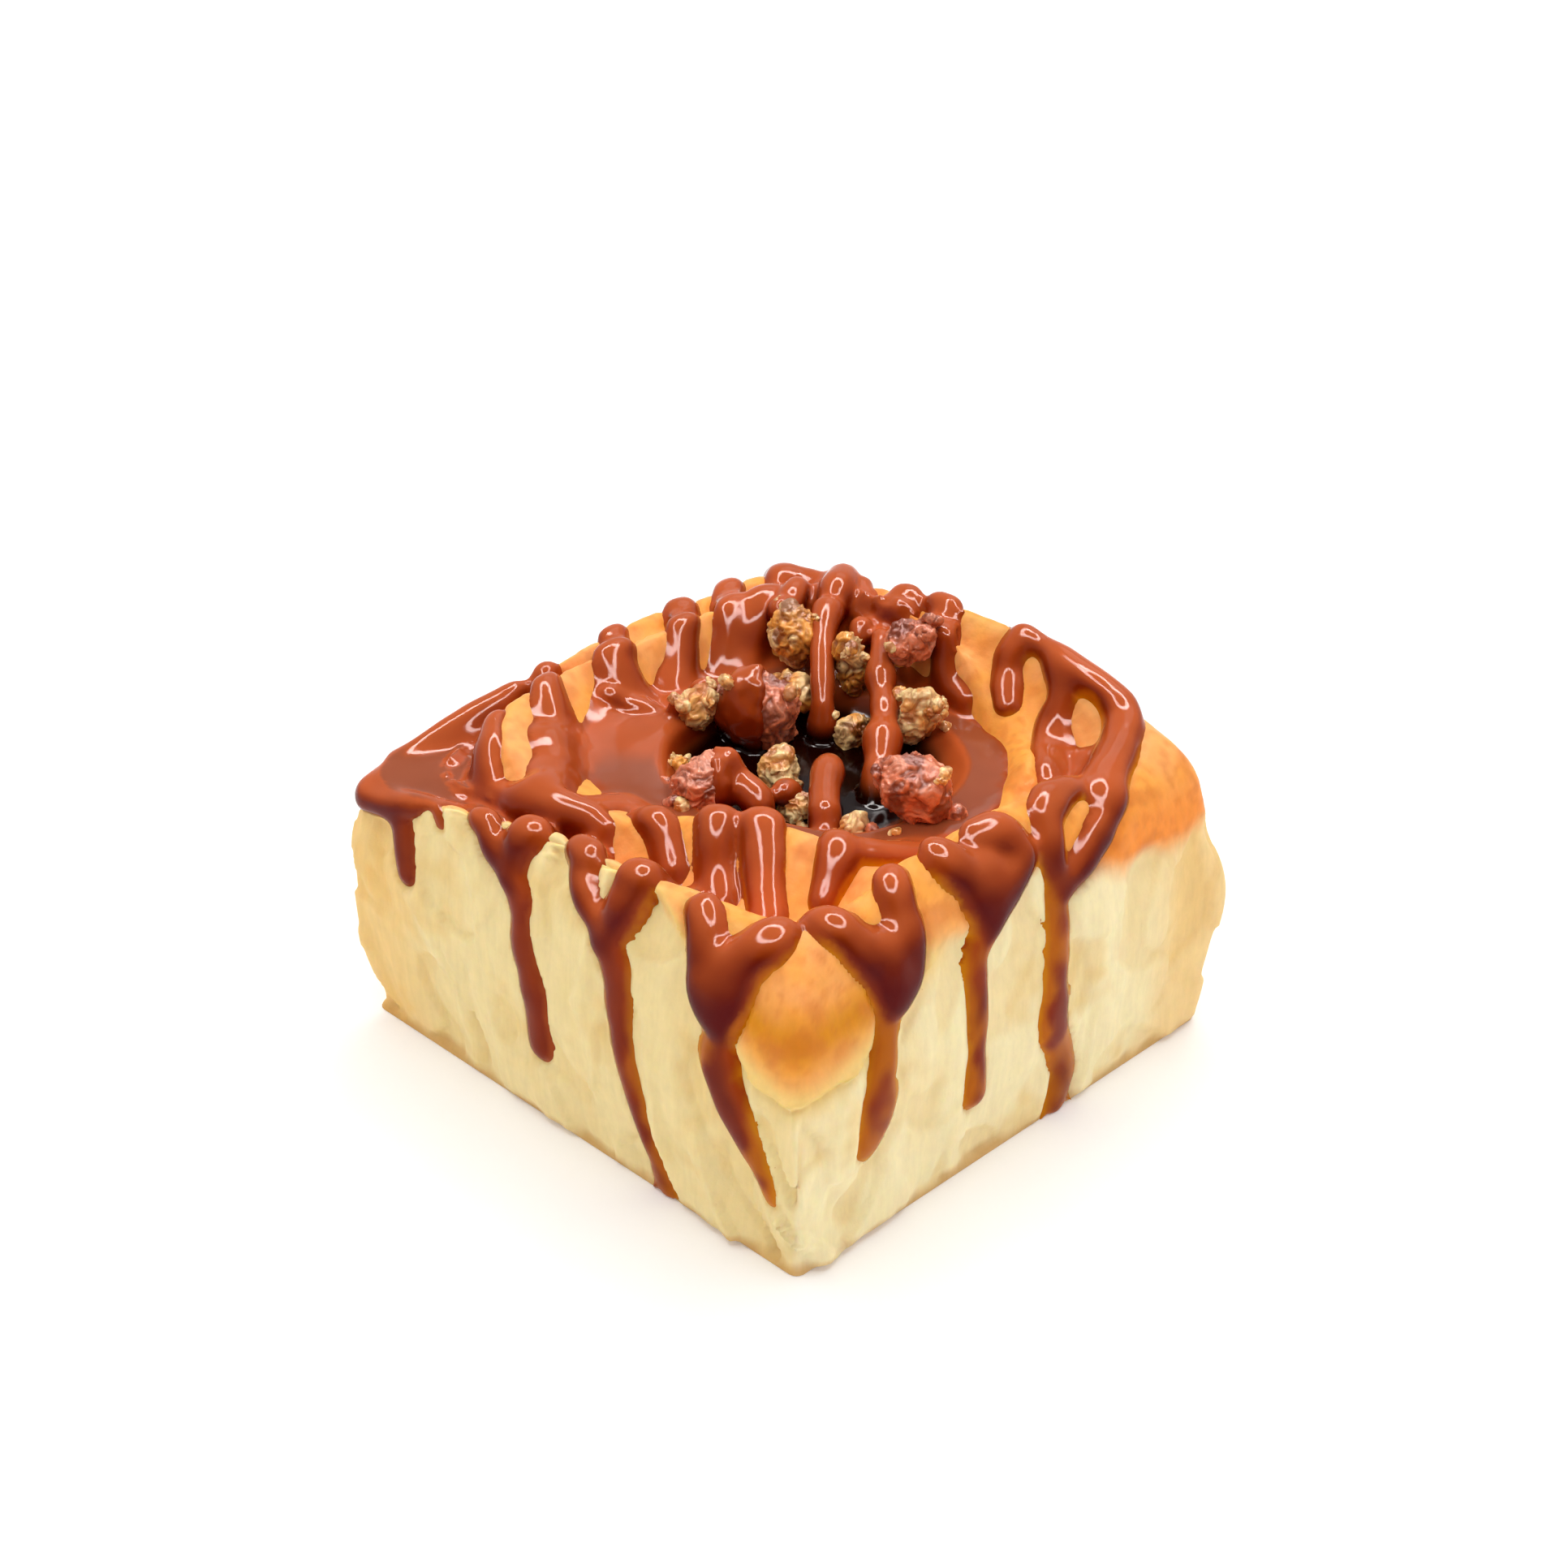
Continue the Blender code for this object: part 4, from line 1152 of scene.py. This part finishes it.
@dataclass
class Sauce:
    """All the sauce as one skin: strands, drips and pools, and what hangs over the walnuts."""

    net: DoughNet
    field: SauceField
    voxel_mm: float = 0.46
    kept_faces: float = 0.52
    shell_mm: float = 1.1
    cut_depth: float = -0.45
    soft_passes: int = 2
    smooth_passes: int = 4
    tube_spread: float = 1.12
    drape_mm: float = 5.0
    thin: str = "#C47600"
    amber: str = "#B45E08"
    hem: str = "#9A4012"
    # Painted light and shade: side is the sauce's colour for steep sides painted darker, body its middle
    # tone, lit its upward tops painted lighter.
    side: str = "#7E2606"
    body: str = "#9C3E14"
    lit: str = "#B65428"
    # Painted reflection: level pools are painted a greyer brown, as if mirroring the white surround.
    pool: str = "#944A2C"
    # Painted shade: deep red brown for thick sauce on steep and downward sides.
    deep: str = "#580200"
    # Painted shade: near black for the sauce down in the pit between the walnuts.
    pit: str = "#180200"

    def softened(self, depth: Array) -> Array:
        """The depths with their steps rounded off, so that an edge runs smoothly over the net."""
        soft = np.maximum(depth, 2 * self.cut_depth)
        for _ in range(self.soft_passes):
            soft = np.roll(soft, 1, axis=1) / 4 + soft / 2 + np.roll(soft, -1, axis=1) / 4
            wide = np.pad(soft, ((1, 1), (0, 0)), mode="edge")
            soft = wide[:-2] / 4 + wide[1:-1] / 2 + wide[2:] / 4
        return soft

    def shell(self) -> bpy.types.Object:
        """The skin over the dough as a closed shell, sunk where there is no sauce."""
        depth = self.softened(self.field.depth)
        height = np.maximum(depth, self.cut_depth)
        points = self.net.points + self.net.normals * height[..., None]
        piece = self.net.cast("sauce", points, {"depth": depth})
        built = bmesh.new()
        built.from_mesh(piece.data)
        layer = built.verts.layers.float["depth"]
        low = self.cut_depth
        gone = [face for face in built.faces if all(v[layer] < low for v in face.verts)]
        bmesh.ops.delete(built, geom=gone, context="FACES")
        built.to_mesh(piece.data)
        built.free()
        apply_modifier(piece, "SOLIDIFY", thickness=self.shell_mm * MM, offset=-1.0)
        return piece

    def tube(self, name: str, spots: Iterable[Sequence[float]], ground: Ground) -> bpy.types.Object:
        """A round run of sauce with a radius at each of its points, draped over the ground.

        Args:
            name: The object's name.
            spots: Points in mm, each with its radius.
            ground: What the run lies on.

        Returns:
            A closed mesh.
        """
        knots = np.array(list(spots), float)
        ends = np.linspace(0.0, 1.0, len(knots))
        rows = cubic(ends, knots, np.linspace(0.0, 1.0, 24 * len(knots)))
        rows[:, 3] *= self.tube_spread * (1 + 0.25 * noise_at(rows[:, :3], 4.0, 41.0))
        tops = np.array([ground.top(x, y) for x, y in rows[:, :2]])
        above = rows[:, 2] - tops
        lying = np.clip(above, 0.1 * rows[:, 3], 0.8 * rows[:, 3])
        height = tops + np.where(above < self.drape_mm, lying, above)
        longer = np.pad(height, 6, mode="edge")
        rows[:, 2] = np.convolve(longer, np.full(13, 1 / 13), mode="valid")
        run = np.linalg.norm(np.diff(rows[:, :3], axis=0), axis=1).cumsum()
        run = np.concatenate([[0.0], run])
        to_end = np.minimum(run, run[-1] - run) / rows[:, 3]
        rows[:, 3] *= np.sqrt(1 - (1 - np.clip(to_end, 0.02, 1.0)) ** 2)
        curve = bpy.data.curves.new(name, "CURVE")
        curve.dimensions = "3D"
        curve.bevel_depth = MM
        curve.bevel_resolution = 4
        curve.use_fill_caps = True
        spline = curve.splines.new("POLY")
        spline.points.add(len(rows) - 1)
        for knot, row in zip(spline.points, rows):
            knot.co = (*(row[:3] * MM), 1.0)
            knot.radius = row[3]
        rope = bpy.data.objects.new(name, curve)
        bpy.context.scene.collection.objects.link(rope)
        select_only(rope)
        bpy.ops.object.convert(target="MESH")
        return rope

    def build(
        self, dough: bpy.types.Object, coats: list[bpy.types.Object], ground: Ground,
        finish: bpy.types.Material,
    ) -> bpy.types.Object:
        """Joins all the sauce, runs it together and colours it.

        Args:
            dough: The dough's piece, which the sauce lies on.
            coats: Closed skins of sauce on the walnuts.
            ground: The dough and the walnuts, for the runs over them.
            finish: The sauce's material.

        Returns:
            The piece.
        """
        piece = self.shell()
        runs = [self.tube(*run, ground) for run in RUNS_OVER_WALNUTS.items()]
        select_only(piece, *runs, *coats)
        bpy.ops.object.join()
        apply_modifier(
            piece, "REMESH", mode="VOXEL", voxel_size=self.voxel_mm * MM, use_smooth_shade=True,
        )
        apply_modifier(piece, "SMOOTH", factor=0.5, iterations=self.smooth_passes)
        apply_modifier(piece, "DECIMATE", ratio=self.kept_faces)
        apply_modifier(piece, "SMOOTH", factor=0.5, iterations=2)
        points, _ = vertices_of(piece.data)
        points[:, 2] = np.maximum(points[:, 2], 0.0)
        move_vertices(piece.data, points)
        self.colour(piece, dough)
        piece.data.materials.clear()
        piece.data.materials.append(finish)
        select_only(piece)
        bpy.ops.object.shade_smooth()
        return piece

    def colour(self, piece: bpy.types.Object, dough: bpy.types.Object) -> None:
        """Colours the sauce: amber where thin, with painted light on its tops, painted shade in deep red
        brown on its steep sides and near black in the pit, and a painted reflection on level pools.
        """
        points, normals = vertices_of(piece.data)
        under = BVHTree.FromObject(dough, bpy.context.evaluated_depsgraph_get())
        found = [under.find_nearest(spot)[3] for spot in (points * MM).tolist()]
        depth = np.array(found) / MM
        depth = depth + 0.2 * noise_at(points, 3.0, 51.0)
        up = normals[:, 2] + 0.15 * noise_at(points, 6.0, 52.0)
        swirl = 0.9 * noise_at(points, 4.5, 53.0) * step(0.5, 0.2, normals[:, 2])
        # Painted light and shade: sauce that faces up is painted lighter, steep sauce darker.
        body = blend(step(0.0, 0.6, up), linear(self.side), linear(self.body))
        body = blend(step(0.5, 0.9, up), body, linear(self.lit))
        # Painted reflection: flat sauce facing straight up gets the greyer pool colour.
        level = step(0.95, 0.995, normals[:, 2]) * step(43.0, 42.3, points[:, 2])
        body = blend(level, body, linear(self.pool))
        # Painted shade: steep, thick sauce is darkened towards deep.
        shade = step(0.7, 0.1, up) * step(0.9, 2.0, depth) * step(5.0, 3.5, depth)
        body = blend(shade, body, linear(self.deep))
        edge = blend(step(0.05, 0.45, depth), linear(self.thin), linear(self.amber))
        golden = step(2.0, 26.0, points[:, 0]) * step(0.6, 0.3, normals[:, 2])
        edge = blend(golden, linear(self.hem), edge)
        # Painted shade: sauce low in the pit is painted near black, as if in shadow.
        basin = np.array(self.net.form.basin) - np.array(self.net.form.centre)
        away = np.linalg.norm(points[:, :2] - basin, axis=1)
        pit_shade = step(41.0, 38.2, points[:, 2]) * step(23.0, 19.0, away)
        body = blend(pit_shade, body, linear(self.pit))
        edge = blend(pit_shade, edge, linear(self.pit))
        full = step(0.1 + 0.35 * golden, 0.5 + 0.8 * golden, depth + swirl * golden)
        put_values(piece.data, blend(full, edge, body), "tint")


class NutFace(Enum):
    """What most of a walnut piece shows."""

    SKIN = "skin"
    FLESH = "flesh"
    TOASTED = "toasted"


@dataclass(frozen=True)
class NutLook:
    """How one walnut piece looks, and how much sauce covers it.

    coat is (direction in degrees, how far from its centre the sauce begins in mm), and the
    sauce covers what lies further that way. None leaves the piece bare. bits is how many
    crumbs lie round it.
    """

    face: NutFace
    seed: float
    bits: int
    coat: Optional[tuple[float, float]] = None


WALNUTS: dict[str, NutLook] = {
    "walnut_slab": NutLook(NutFace.SKIN, 1.0, 8, (225.0, -0.8)),
    "walnut_back": NutLook(NutFace.TOASTED, 2.0, 10),
    "walnut_right_large": NutLook(NutFace.SKIN, 3.0, 9),
    "walnut_left_coated": NutLook(NutFace.SKIN, 4.0, 6, (45.0, 1.6)),
    "walnut_right_pale": NutLook(NutFace.FLESH, 5.0, 9),
    "walnut_middle": NutLook(NutFace.FLESH, 6.0, 6),
    "walnut_back_low": NutLook(NutFace.TOASTED, 7.0, 5),
    "walnut_round": NutLook(NutFace.TOASTED, 8.0, 2),
    "walnut_front_small": NutLook(NutFace.FLESH, 9.0, 3),
    "walnut_left_pale": NutLook(NutFace.FLESH, 10.0, 5),
    "walnut_sliver": NutLook(NutFace.TOASTED, 11.0, 7),
    "walnut_back_right": NutLook(NutFace.SKIN, 12.0, 9),
    "walnut_left_bit": NutLook(NutFace.TOASTED, 13.0, 2),
    "walnut_lip_bit": NutLook(NutFace.FLESH, 14.0, 2),
}


@dataclass
class Walnuts:
    """The walnut pieces in the basin, each over its own solid."""

    lump_mm: float = 3.4
    grain_depth: float = 0.24
    coat_mm: float = 0.8
    faces_wanted: int = 4000
    skin: str = "#DA7850"
    # The dark colours serve both the kernels' darker patches and painted shade in their gaps and
    # valleys.
    skin_dark: str = "#6A2208"
    blush: str = "#EC9C7C"
    flesh: str = "#FCE0A0"
    flesh_dark: str = "#A8520E"
    toasted: str = "#F2A444"
    toasted_dark: str = "#7A3008"
    bit_mm: tuple[float, float] = (0.6, 1.6)
    sink_mm: float = 1.8
    seed: int = 11
    pieces: list[bpy.types.Object] = field(default_factory=list)
    coats: list[bpy.types.Object] = field(default_factory=list)

    def fine_copy(self, node: bpy.types.Object, name: str) -> bpy.types.Object:
        """A merged and subdivided copy of a walnut's solid."""
        piece = bpy.data.objects.new(name, node.data.copy())
        piece.data.name = name
        bpy.context.scene.collection.objects.link(piece)
        built = bmesh.new()
        built.from_mesh(piece.data)
        bmesh.ops.remove_doubles(built, verts=built.verts, dist=0.001 * MM)
        built.to_mesh(piece.data)
        built.free()
        while len(piece.data.polygons) < self.faces_wanted:
            apply_modifier(piece, "SUBSURF", levels=1, render_levels=1)
        return piece

    def lumps(self, points: Array, size: float, seed: float) -> tuple[Array, Array]:
        """Rounded lumps: how high each point is on its lump, and how near to a gap."""
        spots = (points / size + seed * np.array([3.1, -1.7, 2.3])).tolist()
        near = np.array([noise.voronoi(spot)[0][:2] for spot in spots])
        return 0.6 - near[:, 0], np.exp(-(((near[:, 1] - near[:, 0]) / 0.16) ** 2))

    def dress(
        self, piece: bpy.types.Object, look: NutLook, finish: bpy.types.Material, scale: float = 1,
    ) -> None:
        """Wrinkles and colours one piece.

        Args:
            piece: A closed mesh of the piece's plain shape.
            look: What it shows.
            finish: The walnuts' material.
            scale: Under 1 makes finer wrinkles, for a crumb.
        """
        plain, normals = vertices_of(piece.data)
        points = plain / scale
        warp = np.stack([noise_at(points, 2.2, look.seed + k) for k in range(3)], axis=-1)
        bent = points + 1.8 * warp
        big, gap = self.lumps(bent, self.lump_mm, look.seed)
        small, crack = self.lumps(bent + warp, 0.4 * self.lump_mm, look.seed + 3)
        grain = noise_at(points, 0.8, look.seed + 5)
        skinny = {NutFace.SKIN: 0.8, NutFace.FLESH: 0.2, NutFace.TOASTED: 0.1}[look.face]
        ridge = 1 - np.minimum(np.abs(noise_at(bent, 3.2, look.seed + 10)) / 0.3, 1)
        fine = 1 - np.minimum(np.abs(noise_at(bent, 1.3, look.seed + 11)) / 0.3, 1)
        height = (1 - skinny) * (0.9 * big + 0.2 * small) + skinny * (0.5 * ridge - 0.2)
        height += 0.28 * fine + 1.1 * noise_at(points, 4.2, look.seed + 9)
        height += self.grain_depth * grain + 0.25 - 0.2 * gap * (1 - skinny)
        move_vertices(piece.data, plain + normals * (scale * height)[:, None])
        pairs = {
            NutFace.SKIN: (self.skin, self.skin_dark, self.blush),
            NutFace.FLESH: (self.flesh, self.flesh_dark, self.toasted),
            NutFace.TOASTED: (self.toasted, self.toasted_dark, self.flesh),
        }
        light, dark, other = (linear(code) for code in pairs[look.face])
        patch = step(-0.05, 0.3, noise_at(points, 2.6, look.seed + 7))
        tint = blend(0.75 * patch, light, other)
        # Partly painted shade: gaps, cracks and valleys are darkened towards the dark colour; the noise
        # patches added next are the kernel's own darker tone.
        valley = step(0.5, 0.0, ridge) * skinny + step(0.35, 0.0, fine) * 0.5
        shaded = np.clip(0.6 * gap * (1 - skinny) + 0.15 * crack + 0.6 * valley, 0, 1)
        shaded = np.clip(shaded + step(0.1, 0.4, noise_at(points, 3.0, look.seed + 8)), 0, 1)
        put_values(piece.data, blend(0.85 * shaded, tint, dark), "tint")
        piece.data.materials.clear()
        piece.data.materials.append(finish)
        piece.data.shade_smooth()

    def coat(self, piece: bpy.types.Object, look: NutLook) -> None:
        """Makes the skin of sauce that covers one side of a piece."""
        if look.coat is None:
            return
        direction, begins = look.coat
        skin = bpy.data.objects.new(piece.name + "_coat", piece.data.copy())
        bpy.context.scene.collection.objects.link(skin)
        points, normals = vertices_of(skin.data)
        way = np.array([math.cos(math.radians(direction)), math.sin(math.radians(direction)), 0])
        middle = (points.max(axis=0) + points.min(axis=0)) / 2
        past = (points - middle) @ way - begins + 1.2 * noise_at(points, 2.6, look.seed + 9)
        cover = step(-0.5, 0.5, past)
        height = cover * self.coat_mm - (1 - cover) * 0.9
        move_vertices(skin.data, points + normals * height[:, None])
        self.coats.append(skin)

    def bit(self, spot: Array, size: float, turn: float) -> bpy.types.Object:
        """One plain lump at a spot, for a crumb."""
        bpy.ops.mesh.primitive_ico_sphere_add(subdivisions=4, radius=size * MM)
        lump = bpy.context.object
        points, _ = vertices_of(lump.data)
        across = np.array([math.cos(turn), math.sin(turn), 0.4])
        points *= 1 - 0.5 * np.abs(points @ across / size)[:, None]
        points *= np.array([1.0, 1.0, 0.7])
        move_vertices(lump.data, points + spot)
        return lump

    def crumbs(self, ground: Ground, solid: Ground, finish: bpy.types.Material) -> bpy.types.Object:
        """Builds the crumbs of walnut round the pieces, as one piece.

        Args:
            ground: Everything that crumbs lie on, with the sauce.
            solid: The same without the sauce, which crumbs sink into where it is deep.
            finish: The walnuts' material.

        Returns:
            The piece.
        """
        chance = np.random.default_rng(self.seed)
        lumps = []
        for piece, look in zip(self.pieces, WALNUTS.values()):
            points, _ = vertices_of(piece.data)
            low, high = points.min(axis=0), points.max(axis=0)
            for _ in range(look.bits):
                turn, reach = chance.uniform(0, 2 * math.pi), chance.uniform(0.75, 1.25)
                way = np.array([math.cos(turn), math.sin(turn)])
                x, y = (low + high)[:2] / 2 + reach * way * (high - low)[:2] / 2
                size = chance.uniform(*self.bit_mm)
                lies = min(ground.top(x, y), solid.top(x, y) + self.sink_mm)
                spot = np.array([x, y, lies + 0.1 * size])
                lump = self.bit(spot, size, chance.uniform(0, 2 * math.pi))
                face = NutFace.FLESH if chance.random() < 0.45 else look.face
                self.dress(lump, NutLook(face, chance.uniform(20, 90), 0), finish, 0.5)
                lumps.append(lump)
        select_only(*lumps)
        bpy.ops.object.join()
        crumbs = bpy.context.object
        crumbs.name = crumbs.data.name = "walnut_crumbs"
        return crumbs

    def build(self, nodes: dict[str, bpy.types.Object], finish: bpy.types.Material) -> None:
        """Builds every piece and its coat of sauce."""
        for name, look in WALNUTS.items():
            piece = self.fine_copy(nodes[name], name.replace("walnut_", "kernel_"))
            self.dress(piece, look, finish)
            self.coat(piece, look)
            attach(piece, "root")
            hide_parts(name)
            self.pieces.append(piece)
            log.info("%s: %d faces", piece.name, len(piece.data.polygons))


@dataclass
class Studio:
    """The pale floor, the soft lights and the camera. Lengths are in mm."""

    azimuth: float = 45.0
    elevation: float = 31.0
    distance: float = 440.0
    focal_share: float = 3691 / 1932
    sensor: float = 36.0
    target: Place = (-1.76, 2.03, 39.0)
    floor_half: float = 4000.0
    ring_height: float = 750.0
    ring_outer: float = 430.0
    ring_inner: float = 300.0
    ring_glow: float = 5.4
    ring_mirrored: float = 62.0
    key_place: Place = (-500.0, 900.0, 1200.0)
    key_size: float = 900.0
    key_watts: float = 4.0
    board_white: float = 0.86
    board_glow: float = 0.16
    surround: float = 0.98
    dark_side: float = 0.06

    def backward(self) -> Vector:
        """The direction from the roll to the camera."""
        turn, rise = math.radians(self.azimuth), math.radians(self.elevation)
        level = math.cos(rise)
        return Vector((math.sin(turn) * level, -math.cos(turn) * level, math.sin(rise)))

    def camera(self) -> None:
        """The camera at the photograph's angle."""
        back = self.backward()
        data = bpy.data.cameras.new("camera")
        data.sensor_width = self.sensor
        data.lens = self.focal_share * self.sensor
        data.clip_start, data.clip_end = 0.01, 20.0
        eye = bpy.data.objects.new("camera", data)
        eye.location = (Vector(self.target) + back * self.distance) * MM
        eye.rotation_euler = (-back).to_track_quat("-Z", "Y").to_euler()
        bpy.context.scene.collection.objects.link(eye)
        bpy.context.scene.camera = eye

    def floor(self) -> None:
        """A plain white floor that runs past the frame."""
        bpy.ops.mesh.primitive_plane_add(size=2 * self.floor_half * MM, location=(0, 0, -0.0001))
        sheet = bpy.context.object
        sheet.name = "floor"
        made, tree = bare_material("white_board")
        shader = add_node(
            tree, "ShaderNodeBsdfPrincipled",
            {
                "Base Color": (*[self.board_white] * 3, 1.0), "Roughness": 0.8,
                "Specular IOR Level": 0.1, "Emission Color": (1.0, 1.0, 1.0, 1.0),
                "Emission Strength": self.board_glow,
            },
        )
        add_node(tree, "ShaderNodeOutputMaterial", None, {0: shader})
        sheet.data.materials.append(made)

    def ring_lamp(self) -> None:
        """A ring of light overhead, which the wet sauce mirrors as small rings."""
        bpy.ops.mesh.primitive_circle_add(
            vertices=96, radius=self.ring_outer * MM, fill_type="NGON",
            location=(0, 0, self.ring_height * MM),
        )
        ring = bpy.context.object
        ring.name = "ring_lamp"
        bpy.ops.object.mode_set(mode="EDIT")
        bpy.ops.mesh.select_all(action="SELECT")
        bpy.ops.mesh.inset(thickness=(self.ring_outer - self.ring_inner) * MM)
        bpy.ops.mesh.delete(type="FACE")
        bpy.ops.object.mode_set(mode="OBJECT")
        made, tree = bare_material("lamp_glow")
        light = add_node(tree, "ShaderNodeLightPath")
        strength = add_node(
            tree, "ShaderNodeMapRange", {"To Min": self.ring_glow, "To Max": self.ring_mirrored},
            {0: light.outputs["Is Glossy Ray"]},
        )
        glow = add_node(
            tree, "ShaderNodeEmission", {"Color": (1.0, 0.97, 0.95, 1.0)}, {"Strength": strength},
        )
        add_node(tree, "ShaderNodeOutputMaterial", None, {0: glow})
        ring.data.materials.append(made)
        ring.visible_camera = False

    def lamps(self) -> None:
        """A big soft key light from above and behind, in a white surround."""
        spot = Vector(self.key_place)
        data = bpy.data.lights.new("key", "AREA")
        data.shape = "DISK"
        data.size = self.key_size * MM
        data.energy = self.key_watts
        lamp = bpy.data.objects.new("key", data)
        lamp.location = spot * MM
        lamp.rotation_euler = spot.to_track_quat("Z", "Y").to_euler()
        bpy.context.scene.collection.objects.link(lamp)
        self.surrounding()

    def surrounding(self) -> None:
        """An even white surround that is dark only behind the camera."""
        world = bpy.data.worlds.new("white_surround")
        world.use_nodes = True
        tree = world.node_tree
        tree.nodes.clear()
        where = add_node(tree, "ShaderNodeTexCoord")
        facing = add_node(
            tree, "ShaderNodeVectorMath", {"operation": "DOT_PRODUCT", 1: self.backward()},
            {0: where.outputs["Generated"]},
        )
        glow = add_node(
            tree, "ShaderNodeMapRange", {1: 0.84, 2: 0.96, 3: self.surround, 4: self.dark_side},
            {0: facing.outputs["Value"]},
        )
        shown = add_node(tree, "ShaderNodeBackground", None, {"Strength": glow})
        add_node(tree, "ShaderNodeOutputWorld", None, {0: shown})
        bpy.context.scene.world = world
        bpy.context.scene.view_settings.view_transform = "Standard"

    def build(self) -> None:
        """Sets up the stage."""
        self.camera()
        self.floor()
        self.ring_lamp()
        self.lamps()


def main() -> None:
    """Builds the roll's pieces in order and reports each."""
    logging.basicConfig(level=logging.INFO, format="%(name)s %(message)s")
    Studio().build()
    net = DoughNet(DoughForm())
    log.info("net: %d rings of %d", len(net.stations), net.columns)
    sauce_field = SauceField(net)
    sauce_field.coat_basin()
    sauce_field.fill_basin()
    for pool in POOLS.values():
        sauce_field.fill_pool(pool)
    for seed, strand in enumerate(STRANDS.values()):
        sauce_field.run(strand, 60.0 + seed)
    dough = Dough(net).build(sauce_field.depth, BakedDough().build())
    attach(dough, "root")
    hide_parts("bun")
    log.info("dough: %d faces", len(dough.data.polygons))
    walnuts = Walnuts()
    meat = WalnutMeat().build()
    walnuts.build(frame["nodes"], meat)
    ground = Ground(dough, *walnuts.pieces)
    caramel = CaramelSauce().build()
    sauce = Sauce(net, sauce_field).build(dough, walnuts.coats, ground, caramel)
    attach(sauce, "root")
    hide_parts("bun")
    log.info("sauce: %d faces", len(sauce.data.polygons))
    crumbs = walnuts.crumbs(Ground(dough, sauce, *walnuts.pieces), ground, meat)
    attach(crumbs, "root")
    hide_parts("bun")
    log.info("crumbs: %d faces", len(crumbs.data.polygons))


if __name__ == "__main__":
    main()
